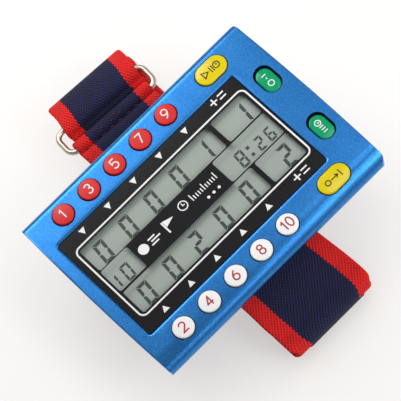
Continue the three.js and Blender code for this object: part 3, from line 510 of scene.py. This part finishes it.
# joins the bodies; edges sharper than an angle in degrees stay edges, 0 leaves every face flat
def makePiece(name, bodies, finish, sharp=0, **roles):
    points, faces, count = [], [], 0
    for body, bodyFaces in bodies:
        points.append(body)
        faces += [[i + count for i in face] for face in bodyFaces]
        count += len(body)
    mesh = bpy.data.meshes.new(name)
    mesh.from_pydata(np.vstack(points) * mm, [], faces)
    outwardFaces(mesh)
    if sharp:
        mesh.shade_smooth()
        mesh.set_sharp_from_angle(angle=math.radians(sharp))
    finishPiece(mesh, finish, **roles)


# Window: printed plate with open panes, clear acrylic under it

lens = {
    "printThickness": 0.12, "clearGap": 0.02, "paneCorner": 0.8, "corner": 0.75, "cornerSteps": 4,
    # panes as left, right, bottom, top from the window's middle
    "panes": [
        (-33.7, 20.2, 5.4, 14.9), (21.8, 35.2, 5.5, 14.9),
        (-33.9, -22.8, -4.2, 5.1), (13.2, 35.3, -4.5, 5.0),
        (-33.7, 20.2, -14.4, -4.9), (21.8, 35.2, -14.4, -4.9),
    ],
}
lensLow, lensHigh = corners("display_lens")


# the plate is filled between its outer edge and the panes' outlines by a constrained
# triangulation; a triangle whose middle lies left of all of a pane's edges is left out
def paneledPlate(outer, holes, low, high):
    edges, start = [], 0
    for ring in [outer] + holes:
        n = len(ring)
        edges += [(start + i, start + (i + 1) % n) for i in range(n)]
        start += n
    made = delaunay_2d_cdt([tuple(p) for p in np.vstack([outer] + holes)], edges, [], 0, 1e-6)
    flat = np.array([(v.x, v.y) for v in made[0]])
    triangles = np.array(made[2])
    middle = flat[triangles].mean(1)
    solid = np.ones(len(middle), bool)
    for hole in holes:
        ahead = np.roll(hole, -1, 0) - hole
        away = middle[:, None] - hole
        solid &= ~(ahead[:, 0] * away[..., 1] > ahead[:, 1] * away[..., 0]).all(1)
    kept, n = triangles[solid], len(flat)
    faces = [t[::-1] for t in kept.tolist()] + (kept + n).tolist()
    directed = {(t[i], t[(i + 1) % 3]) for t in kept.tolist() for i in range(3)}
    faces += [[a, b, b + n, a + n] for a, b in directed if (b, a) not in directed]
    return np.vstack([level(flat, low), level(flat, high)]), faces


# printed plate above, and below it, a small gap apart, an acrylic body with the same outline
def makeLens():
    outer = roundedRectangle(lensLow[0], lensHigh[0], lensLow[1], lensHigh[1], lens["corner"],
                             lens["cornerSteps"])
    holes = [roundedRectangle(left + windowX, right + windowX, bottom, top, lens["paneCorner"])
             for left, right, bottom, top in lens["panes"]]
    under = lensHigh[2] - lens["printThickness"]
    makePiece("window_print", [paneledPlate(outer, holes, under, lensHigh[2])], "blackPrint",
              replaced="display_lens", slot="lens_black")
    makePiece("window_acrylic", [prism(outer, lensLow[2], under - lens["clearGap"])], "acrylic")


makeLens()


# White print on the window: outline, arrows, sum marks, and plain signs in the band between the
# panes: a ball rolling to a flag, a watch dial and a minute scale

marks = {
    "low": 0.002, "high": 0.02, "outline": (-34.9, 36.4, -15.4, 15.8, 2.0, 10), "outlineWidth": 0.55,
    "arrowX": (-28.4, -17.65, -6.8, 4.1, 14.95), "arrowHalf": 1.15,
    "arrowEnds": [(19.85, 17.65), (-19.15, -17.0)],
    # a plus and an equals sign: shift along X, ends, and how far the bar is raised over the others
    "sumPlaces": [(29.0, 18.9), (29.0, -18.1)], "sumStroke": 0.48, "sumBars": [
        (-1.6, [(-1.36, 0), (1.36, 0)], 0), (-1.6, [(0, -1.36), (0, 1.36)], 0.001),
        (1.7, [(-1.28, 0.72), (1.28, 0.72)], 0), (1.7, [(-1.28, -0.72), (1.28, -0.72)], 0)],
    "signs": [
        (ringPath(-19.9, 0.4, 1.75, 36), 0), ([(-17.2, 1.5), (-14.4, 1.5)], 0.5),
        ([(-16.6, 0.4), (-13.0, 0.4)], 0.5), ([(-17.2, -0.7), (-14.4, -0.7)], 0.5),
        ([(-10.6, -1.9), (-10.6, 2.6)], 0.55), ([(-10.2, 2.6), (-10.2, 0.2), (-6.6, 1.4)], 0),
        (ringPath(-2.2, 1.6, 1.5), 0.36, True), ([(-2.2, 2.55), (-2.2, 1.6), (-1.45, 1.6)], 0.32),
    ],
    "scaleFrom": 1.2, "scalePitch": 0.98, "scaleFoot": 0.2, "scaleTop": 1.7, "scaleFifth": 2.8,
    "scaleMarks": 11, "scaleStroke": 0.34, "dots": [(5.0, -2.4), (7.2, -2.4), (9.4, -2.4)], "dot": 0.5,
}


# the scale's marks stand at an even pitch, every fifth one longer; a mark's bar is a band
def printedMarks():
    low, high = lensHigh[2] + marks["low"], lensHigh[2] + marks["high"]
    half = marks["arrowHalf"]
    shapes = [(roundedRectangle(*marks["outline"]), marks["outlineWidth"], True)]
    shapes += [([(x - half, base), (x + half, base), (x, tip)], 0)
               for x in marks["arrowX"] for base, tip in marks["arrowEnds"]]
    bodies = drawn(shapes, windowX, 0, low, high)
    for x, y in marks["sumPlaces"]:
        for shift, ends, step in marks["sumBars"]:
            bodies += drawn([(ends, marks["sumStroke"])], x + shift + windowX, y, low + step, high + step)
    signs = list(marks["signs"])
    for step in range(marks["scaleMarks"]):
        x = marks["scaleFrom"] + step * marks["scalePitch"]
        top = marks["scaleTop"] if step % 5 else marks["scaleFifth"]
        signs.append(([(x, marks["scaleFoot"]), (x, top)], marks["scaleStroke"]))
    signs += [(ringPath(x, y, marks["dot"], 20), 0) for x, y in marks["dots"]]
    makePiece("window_marks", bodies + drawn(signs, windowX, 0, low, high), "whiteInk")


printedMarks()


# Display segments

digits = {
    "gap": 0.17, "slant": math.tan(math.radians(5.5)), "low": 0.004, "high": 0.03, "shift": (0.17, 0.60),
    "columns": (-28.55, -17.9, -7.25, 3.5, 14.3, 30.4), "rows": [(9.25, "000011"), (-10.6, "002002")],
    "size": (7.7, 3.95, 1.05),  # height, width and stroke of the digits in the rows
    # small digits: character, x, y, height, width, stroke
    "small": [
        ("1", -33.0, -1.05, 5.2, 2.6, 0.72), ("0", -28.0, -1.0, 5.8, 3.1, 0.75),
        ("8", 20.45, -1.0, 5.8, 3.0, 0.75), ("2", 27.7, -1.5, 4.8, 2.7, 0.7),
        ("6", 31.9, -1.5, 4.8, 2.7, 0.7),
    ],
    "colon": [(24.0, 0.35), (23.8, -2.5)], "colonHalf": 0.55,
}
litSegments = {"0": "abcdef", "1": "bc", "2": "abged", "6": "acdefg", "8": "abcdefg"}


# outlines of one digit's lit bars: end bars are trapeziums, side bars five-sided, the middle one
# six-sided, and the others mirror these; h and w are half the height and width, t the stroke,
# g the gap, m and n half of stroke and gap
def segmentOutlines(character, x, y, height, width, stroke):
    h, w, t, g = height / 2, width / 2, stroke, digits["gap"]
    m, n = t / 2, g / 2
    bars = {
        "a": [(-w + g, h), (w - g, h), (w - t - n, h - t), (-w + t + n, h - t)],
        "b": [(w, h - g), (w, g), (w - m, n), (w - t, m + n), (w - t, h - t - n)],
        "g": [(-w + m + g, 0), (-w + t + g, m), (w - t - g, m), (w - m - g, 0), (w - t - g, -m),
              (-w + t + g, -m)],
    }
    for bar, source, flip in (("d", "a", (1, -1)), ("c", "b", (1, -1)), ("f", "b", (-1, 1)),
                              ("e", "c", (-1, 1))):
        bars[bar] = np.array(bars[source])[::-1] * flip
    outlines = []
    for bar in litSegments[character]:
        flat = np.array(bars[bar], float)
        flat[:, 0] += flat[:, 1] * digits["slant"]
        outlines.append(flat + (x, y))
    return outlines


# a digit at each column of both rows, then the small ones and two square points
def makeDigits():
    panelTop = corners("display_panel")[1, 2]
    low, high = panelTop + digits["low"], panelTop + digits["high"]
    places = [(character, x, y, *digits["size"]) for y, text in digits["rows"]
              for x, character in zip(digits["columns"], text)]
    outlines = []
    for place in places + digits["small"]:
        outlines += segmentOutlines(*place)
    half = digits["colonHalf"]
    point = np.array([(-half, -half), (half, -half), (half, half), (-half, half)])
    outlines += [point + place for place in digits["colon"]]
    shift = np.add(digits["shift"], (windowX, 0))
    makePiece("display_digits", [prism(o + shift, low, high) for o in outlines], "segment")


makeDigits()
print("window and display made")


# Round number keys

cap = {
    "radius": 3.45, "edge": 0.35, "edgeSteps": 9, "dome": 0.15, "domeSteps": 7, "sides": 72, "sharp": 60,
    "flange": 0.85, "flangeThickness": 0.6, "numberHeight": 3.25, "numberPitch": 2.1,
    "numbers": {"red": ("palePink", 0.42), "white": ("redInk", 0.47)},  # ink and stroke
    "inkLow": -0.02, "inkHigh": 0.03, "inkStep": 0.1,
}


# a cap's rings, each an inset from its outline and a height: flange, rounded edge, and a top that
# rises by a parabola; shares are how far the top's rings lie from the edge to the middle
def capRings(low, top, half, edge, crown, shares):
    shoulder = low + cap["flangeThickness"]
    rings = [(-cap["flange"], low), (-cap["flange"], shoulder), (0.0, shoulder)]
    for bend in np.radians(np.linspace(0, 90, cap["edgeSteps"])):
        rings.append((edge * (1 - math.cos(bend)), top - edge + edge * math.sin(bend)))
    for share in shares:
        rings.append((edge + (half - edge) * share, top + crown * (1 - (1 - share) ** 2)))
    return rings


# rings are circles about the middle, the first and the last shrunk to a point
def roundCap(x, y, low, top):
    radius = cap["radius"]
    rings = [(radius, low)]
    rings += capRings(low, top, radius, cap["edge"], cap["dome"], np.linspace(0, 1, cap["domeSteps"])[1:])
    grid = [level(ringPath(x, y, radius - inset, cap["sides"]), z) for inset, z in rings]
    return gridBody(grid, capEnds=False)


# height of the dome's surface: falls with the square of the distance from the middle
def domeRise(x, y):
    flat = cap["radius"] - cap["edge"]
    return cap["dome"] * (1 - (x * x + y * y) / flat ** 2)


# each digit's pen strokes for a height of 1 about its middle; True closes a stroke
hook = np.array([(0.2, 0.48), (0.02, 0.36), (-0.14, 0.19), (-0.25, 0.0), (-0.295, -0.16)])
digitStrokes = {
    "0": [(arc(0, 0, 0.28, 0, 360, 40, 1.78)[:-1], True)],
    "1": [([(-0.2, 0.27), (0.03, 0.5), (0.03, -0.5)], False)],
    "2": [(np.vstack([arc(0, 0.21, 0.29, 165, -35, 16), [(-0.3, -0.5), (0.32, -0.5)]]), False)],
    "3": [(arc(0, 0.25, 0.25, 155, -90, 18), False), (arc(0, -0.22, 0.28, 90, -155, 20), False)],
    "4": [([(0.13, -0.5), (0.13, 0.5), (-0.32, -0.2), (0.34, -0.2)], False)],
    "5": [(np.vstack([[(0.27, 0.5), (-0.21, 0.5)], arc(0, -0.19, 0.31, 138, -150, 20)]), False)],
    "6": [(ringPath(0, -0.2, 0.3), True), (hook, False)],
    "7": [([(-0.29, 0.5), (0.3, 0.5), (-0.1, -0.5)], False)],
    "8": [(ringPath(0, 0.26, 0.24), True), (ringPath(0, -0.22, 0.28), True)],
    "9": [(ringPath(0, 0.2, 0.3), True), (-hook, False)],
}


# a stroke's points close enough together for the ink to follow the dome
def finePath(path, closed):
    path = np.asarray(path, float)
    ends = np.roll(path, -1, 0) if closed else path[1:]
    parts = []
    for start, end in zip(path, ends):
        steps = max(1, int(np.ceil(np.linalg.norm(end - start) / cap["inkStep"])))
        parts.append(start + (end - start) * (np.arange(steps) / steps)[:, None])
    return np.vstack(parts + ([] if closed else [path[-1:]]))


# digits side by side at an even pitch about the middle, each stroke a band that follows the dome
def numeral(text, x, y, top, stroke):
    bodies = []
    for place, digit in enumerate(text):
        shift = (place - (len(text) - 1) / 2) * cap["numberPitch"]
        for path, closed in digitStrokes[digit]:
            flat = finePath(path, closed) * cap["numberHeight"] + (shift, 0)
            points, faces = band(flat, stroke, cap["inkLow"], cap["inkHigh"], closed, domeRise)
            bodies.append((points + (x, y, top), faces))
    return bodies


# Oval keys: the yellow ones lie along the reading direction, the green ones stand across it

ovals = {
    "crown": 0.08, "crownSteps": (0.35, 0.6, 0.85), "tip": 0.02, "inkLow": -0.01, "inkHigh": 0.02,
    # length, width and edge radius
    "yellow": (11.2, 7.0, 0.5), "green": (9.8, 6.0, 0.8),
    # each key's colour, ink and shapes: a triangle, two bars and a dial to start
    "start": ("yellow", "brownInk", [
        ([(-3.1, -1.15), (-3.1, 1.15), (-1.1, 0)], 0.36, True), ([(-0.1, -1.2), (-0.1, 1.2)], 0.36),
        ([(0.75, -1.2), (0.75, 1.2)], 0.36), (ringPath(2.3, 0, 1.05), 0.36, True),
        ([(2.3, 0.65), (2.3, 0), (2.75, 0)], 0.324)]),
    # a ball, an arrow and a line for out
    "out": ("yellow", "brownInk", [
        (ringPath(-2.2, 0, 0.85), 0.36, True), ([(-0.9, 0), (1.6, 0)], 0.36),
        ([(0.9, 0.7), (1.75, 0), (0.9, -0.7)], 0.36), ([(2.7, -1.25), (2.7, 1.25)], 0.36)]),
    # a bar, a point and a ring for power
    "power": ("green", "whiteInk", [
        ([(-0.85, 2.1), (0.85, 2.1)], 0.32), (ringPath(0, 0.75, 0.26, 16), 0),
        (ringPath(0, -1.4, 0.95), 0.32, True)]),
    # a dial and three strokes for the timer
    "timer": ("green", "whiteInk", [
        (ringPath(0, 1.7, 0.95), 0.32, True), ([(0.55, 1.7), (0, 1.7), (0, 1.3)], 0.288),
        ([(-0.75, 0.1), (0.75, 0.1)], 0.32), ([(-0.75, -0.9), (0.75, -0.9)], 0.32),
        ([(-0.75, -1.9), (0.75, -1.9)], 0.32)]),
}


# stadium outline of a given length and width, drawn in by inset, turned if upright
def stadium(x, y, length, width, inset, upright, steps=20):
    straight, radius = (length - width) / 2, max(width / 2 - inset, ovals["tip"])
    flat = np.vstack([arc(straight, 0, radius, -90, 90, steps), arc(-straight, 0, radius, 90, 270, steps)])
    if upright:
        flat = np.column_stack([-flat[:, 1], flat[:, 0]])
    return flat + (x, y)


# rings are stadiums, drawn in by each ring's inset
def ovalCap(x, y, low, top, length, width, edge, upright):
    rings = capRings(low, top, width / 2, edge, ovals["crown"], ovals["crownSteps"])
    return gridBody([level(stadium(x, y, length, width, inset, upright), z) for inset, z in rings])


# each key's cap in place of its CAD node, about the node's middle, and the number or mark on it
def makeKeys():
    for label in [*range(1, 11), "start", "out", "power", "timer"]:
        key = f"key_{label}"
        low, high = corners(key)
        x, y = (low[:2] + high[:2]) / 2
        if label in ovals:
            kind, (colour, ink, shapes) = "mark", ovals[label]
            body = ovalCap(x, y, low[2], high[2] - ovals["crown"], *ovals[colour], colour == "green")
            bodies = drawn(shapes, x, y, high[2] + ovals["inkLow"], high[2] + ovals["inkHigh"])
        else:
            kind, colour = "number", "red" if label % 2 else "white"
            ink, stroke = cap["numbers"][colour]
            top = high[2] - cap["dome"]
            body = roundCap(x, y, low[2], top)
            bodies = numeral(str(label), x, y, top, stroke)
        makePiece(f"cap_{label}", [body], colour, cap["sharp"], rides=key, replaced=key,
                  slot=f"key_{colour}")
        makePiece(f"{kind}_{label}", bodies, ink, rides=key)


makeKeys()
print("keys made")


# Belt: one long webbing laid as the CAD belt lies, its hem, hook tape and wire loop

belt = {
    "width": 32.5, "thickness": 1.5, "offset": 0.75, "loopOffset": 1.45, "skew": -0.062,
    "folds": [(65.6, 0.13), (-50.0, 0.1)], "foldReach": 1.1,
    "skewFrom": 30.6, "skewTo": 46.55, "restLevel": 0.75, "steps": 8, "sharp": 50,
    "ribAcross": 1.1, "ribAlong": 1.3, "sawDepth": 0.9, "stripeFrom": 11.1,
    # y, z, lean towards +X and share of the width, from the hem's end to the tail's end
    "route": [
        *((y, z, 0.3, 0.935) for y, z in (
            (35.35, 15.798), (39.158, 14.934), (42.07, 15.114), (43.302, 14.43), (44.198, 13.71),
            (44.834, 14.475), (45.614, 15.236), (46.55, 15.45), (47.929, 14.879), (48.5, 13.5),
            (47.929, 12.121), (46.55, 11.55), (43.414, 11.838), (38.934, 12.846), (34, 14.43))),
        (27.2, 15.15, 0, 0.97), (11.333, 15.15, 0, 1), (-11.333, 15.15, 0, 1),
        (-27.2, 15.15, 0, 1), (-31.66, 13.498, 0.42, 1.01), (-38.368, 10.902, 0.98, 1.035),
        (-43.672, 9.545, 1.4, 1.035), (-46.75, 9.25, 1.4, 1.035), (-48.765, 8.415, 1.4, 1.026),
        (-49.6, 6.4, 1.4, 1.018), (-48.765, 4.385, 1.4, 1.009), (-46.75, 3.55, 1.4, 1),
        (-37.2, 3.55, 1.4, 1), (-25.2, 3.55, 1.4, 1), (-23.7, 3.55, 1.4, 1), (-19.2, 2.55, 1.4, 1),
        (-13.2, 2.55, 1.4, 1), (17, 2.55, 1.4, 1), (42.3, 2.55, 3.08, 0.925),
        (58.05, 2.55, 4.2, 0.925), (61.126, 3.824, 3.99, 0.925), (62.4, 6.9, 3.78, 0.925),
        (61.126, 9.976, 3.57, 0.925), (58.05, 11.25, 3.36, 0.925), (52.5, 8.6, 2.52, 0.925),
        (51.086, 9.186, 2.24, 0.923), (50.5, 10.6, 1.96, 0.92), (51.086, 12.014, 1.68, 0.917),
        (52.5, 12.6, 1.4, 0.915), (53.1, 14.475, 1.4, 0.915), (54.75, 15.45, 1.68, 0.915),
        (58.05, 15.45, 2.4, 0.915), (63.247, 13.297, 2.85, 0.917), (65.4, 8.1, 3.3, 0.92),
        (63.247, 2.903, 3.75, 0.923), (58.05, 0.75, 4.2, 0.925), (42.3, 0.75, 3.894, 0.925),
        (17, 0.75, 3.12, 0.925), (0, 0.75, 2.58, 0.925), (-34, 0.75, 2.4, 0.925),
        (-47.6, 0.75, 2.4, 0.925),
    ],
}
finishes["webbing"] = newFinish(twillWebbing, "twill_webbing", belt)


# smooth path through points: for each span a cubic whose end slopes weigh the neighbours by the
# square root of their distance; returns places and headings, steps to a span
def throughPoints(points, steps):
    ends = np.vstack([2 * points[0] - points[1], points, 2 * points[-1] - points[-2]])
    p0, p1, p2, p3 = ends[:-3], ends[1:-2], ends[2:-1], ends[3:]
    spans = ((p0, p1), (p1, p2), (p2, p3))
    d0, d1, d2 = (np.sqrt(np.linalg.norm(b - a, axis=1, keepdims=True)) for a, b in spans)
    m1 = ((p1 - p0) / d0 - (p2 - p0) / (d0 + d1) + (p2 - p1) / d1) * d1
    m2 = ((p2 - p1) / d1 - (p3 - p1) / (d1 + d2) + (p3 - p2) / d2) * d1
    t = (np.arange(steps) / steps)[None, :, None]
    c0, c1 = p1[:, None], m1[:, None]
    c2, c3 = (3 * (p2 - p1) - 2 * m1 - m2)[:, None], (2 * (p1 - p2) + m1 + m2)[:, None]
    places = (c0 + c1 * t + c2 * t ** 2 + c3 * t ** 3).reshape(-1, points.shape[1])
    slopes = (c1 + 2 * c2 * t + 3 * c3 * t ** 2).reshape(-1, points.shape[1])
    return np.vstack([places, p2[-1:]]), np.vstack([slopes, m2[-1:]])


# outline of the webbing's section: flat top and bottom, round selvages
def beltSection(half, thickness, topSteps=36, edgeSteps=6):
    radius = thickness / 2
    right = arc(half - radius, 0, radius, -90, 90, edgeSteps)
    left = arc(radius - half, 0, radius, 90, 270, edgeSteps)
    top = level(np.linspace(half - radius, radius - half, topSteps)[1:-1], radius)
    return np.vstack([right, top, left, -top])


# the section carried along the route, its lift along the path's normal, its selvages drawn in
# round the two outermost folds, and the far end skewed smoothly to the wire loop
def makeBelt():
    route = np.array(belt["route"])
    points = np.column_stack([belt["offset"] + route[:, 2], route[:, 0], route[:, 1]])
    places, headings = throughPoints(points, belt["steps"])
    places[:, 2] = np.maximum(places[:, 2], belt["restLevel"])
    normal = unit(np.column_stack([-headings[:, 2], headings[:, 1]]))
    share = np.interp(np.arange(len(places)) / belt["steps"], np.arange(len(route)), route[:, 3])
    for fold, depth in belt["folds"]:
        share = share * (1 - depth * np.exp(-((places[:, 1] - fold) / belt["foldReach"]) ** 2))
    section = beltSection(belt["width"] / 2, belt["thickness"])
    blend = np.clip((places[:, 1] - belt["skewFrom"]) / (belt["skewTo"] - belt["skewFrom"]), 0, 1)
    skew = belt["skew"] * blend * blend * (3 - 2 * blend)
    lift = section[None, :, 1]
    x = places[:, :1] + section[None, :, 0] * share[:, None]
    y = places[:, 1:2] + normal[:, :1] * lift + skew[:, None] * (x - belt["loopOffset"])
    z = places[:, 2:3] + normal[:, 1:2] * lift
    run = np.concatenate([[0], np.cumsum(np.linalg.norm(np.diff(places, axis=0), axis=1))])
    points, faces = gridBody(np.stack([x, y, z], -1))
    mesh = bpy.data.meshes.new("belt_webbing")
    mesh.from_pydata(points * mm, [], faces)
    columns = len(section)
    cloth = mesh.uv_layers.new(name="cloth")
    corner = np.empty(len(mesh.loops), int)
    mesh.loops.foreach_get("vertex_index", corner)
    uv = np.column_stack([section[corner % columns, 0], run[corner // columns]])
    cloth.data.foreach_set("uv", uv.ravel())
    mesh.shade_smooth()
    mesh.set_sharp_from_angle(angle=math.radians(belt["sharp"]))
    outwardFaces(mesh, merge=False)
    finishPiece(mesh, "webbing", replaced="belt", slot="belt_webbing")
    print("belt length in mm:", round(float(run[-1]), 1))
    return BVHTree.FromPolygons(points.tolist(), faces)


cloth = makeBelt()

tape = {"corner": 1.2, "sharp": 35, "rings": [(0.25, 0.0), (0.0, 0.25), (0.0, 0.7), (0.2, 1.0)]}


# hook tape: a flat band with rounded edges, in the CAD patch's own space; each ring is an inset
# and a share of the thickness
def makeHookTape():
    low, high = corners("hook_patch")
    rings = []
    for inset, share in tape["rings"]:
        outline = roundedRectangle(low[0] + inset, high[0] - inset, low[1] + inset, high[1] - inset,
                                   tape["corner"] - inset)
        rings.append(level(outline, low[2] + (high[2] - low[2]) * share))
    makePiece("hook_tape", [gridBody(rings)], "hook", tape["sharp"], replaced="hook_patch",
              slot="hook_tape")


makeHookTape()

loop = {
    "wire": 0.95, "length": 35.0, "pitch": 8.5, "corner": 2.6, "middle": (1.45, 50.8, 13.5),
    "sides": 28, "cornerSteps": 14, "sharp": 80, "turn": math.atan(belt["skew"]),
}


# wire loop: rectangles with round corners, their size and height on a circle round the wire's
# middle, turned with the belt's skew
def makeLoop():
    halfX, halfY = loop["length"] / 2, loop["pitch"] / 2
    rails = []
    for out, up in ringPath(0, 0, loop["wire"], loop["sides"]):
        outline = roundedRectangle(-halfX - out, halfX + out, -halfY - out, halfY + out,
                                   loop["corner"] + out, loop["cornerSteps"])
        rails.append(level(outline, up))
    c, s = math.cos(loop["turn"]), math.sin(loop["turn"])
    grid = np.stack(rails, 1) @ np.array([(c, s, 0), (-s, c, 0), (0, 0, 1)]) + loop["middle"]
    makePiece("wire_loop", [gridBody(grid, wrapRows=True)], "wire", loop["sharp"],
              rides="belt_loop", replaced="belt_loop", slot="loop_wire")


makeLoop()

# machine stitches that close the hem: short thread bows on the cloth, their ends sunk in it
stitches = {
    "first": -11.6, "last": 14.0, "pitch": 3.4, "row": 44.2, "slope": -0.058, "turn": -3.3, "length": 1.5,
    "radius": 0.18, "lift": 0.12, "sink": 0.35, "steps": 9, "sides": 8, "sharp": 80,
    "above": 40.0,  # height from which the cloth is felt for
    # tacking on the ridge's near side: x, y, turn in degrees and length
    "tacks": [
        (3.4, 45.7, 20, 1.1), (1.8, 46.5, -30, 1.2), (-0.2, 45.5, 35, 1.3), (-0.6, 46.8, -10, 0.8),
        (-3.8, 46.0, 15, 1.2), (-4.9, 45.5, -35, 1.0), (-6.2, 46.9, 20, 0.8), (5.2, 46.3, -20, 0.7),
    ],
}


# height over the cloth falls with the square of the way from the stitch's middle, faster at its ends
def makeStitches():
    rim = np.insert(ringPath(0, 0, stitches["radius"], stitches["sides"]), 0, 0, axis=1)
    way = np.linspace(-1, 1, stitches["steps"])
    places = [(x, stitches["row"] + stitches["slope"] * (x - belt["loopOffset"]), stitches["turn"],
               stitches["length"])
              for x in np.arange(stitches["first"], stitches["last"], stitches["pitch"])]
    bodies = []
    for x, y, angle, length in places + stitches["tacks"]:
        across = x + way * length / 2 * math.cos(math.radians(angle))
        along = y + way * length / 2 * math.sin(math.radians(angle))
        ground = [cloth.ray_cast((a, b, stitches["above"]), (0, 0, -1))[0].z for a, b in zip(across, along)]
        height = np.array(ground) + stitches["lift"] * (1 - way ** 2) - stitches["sink"] * way ** 4
        middle = np.column_stack([across, along, height])
        bodies.append(gridBody(middle[:, None] + rim))
    makePiece("hem_stitches", bodies, "redThread", stitches["sharp"])


makeStitches()
print("belt made")


# Stage: pale table, soft overhead light, camera at the photograph's place

stage = {
    "reach": 2.0,  # metres
    "drop": 0.05, "fillShare": 0.7, "room": (1.0, 0.99, 0.98, 1), "roomStrength": 0.28,
    "camera": (-113.90, -394.48, 887.36), "lens": 284.57, "sensor": 36, "clip": (0.05, 20),
    "right": (0.70757, -0.67288, -0.21581), "up": (0.6967, 0.61324, 0.37221),
    "back": (-0.1181, -0.41372, 0.90271),
    # name, place and aim in metres, size, power, spread in degrees
    "lamps": [
        ("back_light", (-0.01, 0.24, 0.25), (0, 0, 0.02), 0.18, 0.46, 180),
        ("front_light", (0.17, -0.27, 0.23), (0.05, -0.03, 0.02), 0.24, 0.066, 34),
        ("side_light", (0.13, -0.01, 0.27), (0, 0, 0.02), 0.18, 0.18, 180),
    ],
}


# White sheet of paper that the camera sees nearly free of shadow: its own light fills it in,
# a little more towards the far side. Metal and glass show it as the camera does.
def tablePaper(add, place, paper, light):
    split = add("SeparateXYZ", (place,)).outputs
    far = add("Math", (split["X"], split["Y"]), operation="ADD")
    full = add("MapRange", {"Value": far, "From": (-0.12, 0.1), "To": (1.07, 1.12)})
    # painted shadow: close to the object the fill fades, as light from all round does, more on the near
    # side
    sky = add("AmbientOcclusion", {"Distance": 30 * mm}, samples=16).outputs["AO"]
    least = add("MapRange", {"Value": far, "From": (-0.06, 0.05), "To": (0.56, 0.94)})
    paintedShadow = add("MapRange", {"Value": sky, "To": (least, 1.0)})
    kept = add("Math", (full, paintedShadow), operation="MULTIPLY")
    glow = add("Emission", (light, kept))
    ray = add("LightPath").outputs
    mirrored = add("Math", (ray["Is Camera Ray"], ray["Is Glossy Ray"]), operation="MAXIMUM")
    seen = add("Math", (mirrored, ray["Is Transmission Ray"]), operation="MAXIMUM")
    share = add("Math", (seen, stage["fillShare"]), operation="MULTIPLY")
    shader = add("BsdfPrincipled", {"Base Color": paper, "Roughness": 0.8})
    return add("MixShader", (share, shader, glow))


def makeTable():
    reach = stage["reach"]
    flat = [(-reach, -reach), (reach, -reach), (reach, reach), (-reach, reach)]
    mesh = bpy.data.meshes.new("table_top")
    mesh.from_pydata(level(flat, -stage["drop"] * mm), [], [(0, 1, 2, 3)])
    mesh.materials.append(newFinish(tablePaper, "table_paper", "#f1eeec", "#fffdfb"))
    addObject("table_top", mesh)


# places a lamp or camera by its own right, up and back directions
def stand(item, right, up, back, place):
    item.matrix_world = Matrix([*zip(right, up, back, place), (0, 0, 0, 1)])


# square lamp: its back points away from the aim, its right lies across that and the Y axis
def addLight(name, place, aim, size, power, spread):
    light = bpy.data.lights.new(name, "AREA")
    light.shape = "SQUARE"
    light.size = size
    light.energy = power
    light.spread = math.radians(spread)
    back = unit(np.subtract(place, aim))
    right = unit(np.cross((0, 1, 0.01), back))
    stand(addObject(name, light), right, np.cross(back, right), back, place)


def makeCamera():
    data = bpy.data.cameras.new("photo_camera")
    data.lens = stage["lens"]
    data.sensor_width = stage["sensor"]
    data.clip_start, data.clip_end = stage["clip"]
    camera = addObject("photo_camera", data)
    stand(camera, stage["right"], stage["up"], stage["back"], [c * mm for c in stage["camera"]])
    bpy.context.scene.camera = camera


def makeWorld():
    world = bpy.data.worlds.new("soft_room")
    world.use_nodes = True
    world.node_tree.nodes.clear()
    add = partial(addNode, world.node_tree)
    add("OutputWorld", (add("Background", (stage["room"], stage["roomStrength"])),))
    bpy.context.scene.world = world


makeTable()
makeCamera()
makeWorld()
for lamp in stage["lamps"]:
    addLight(*lamp)
bpy.context.scene.view_settings.view_transform = "Standard"
print("stage made")
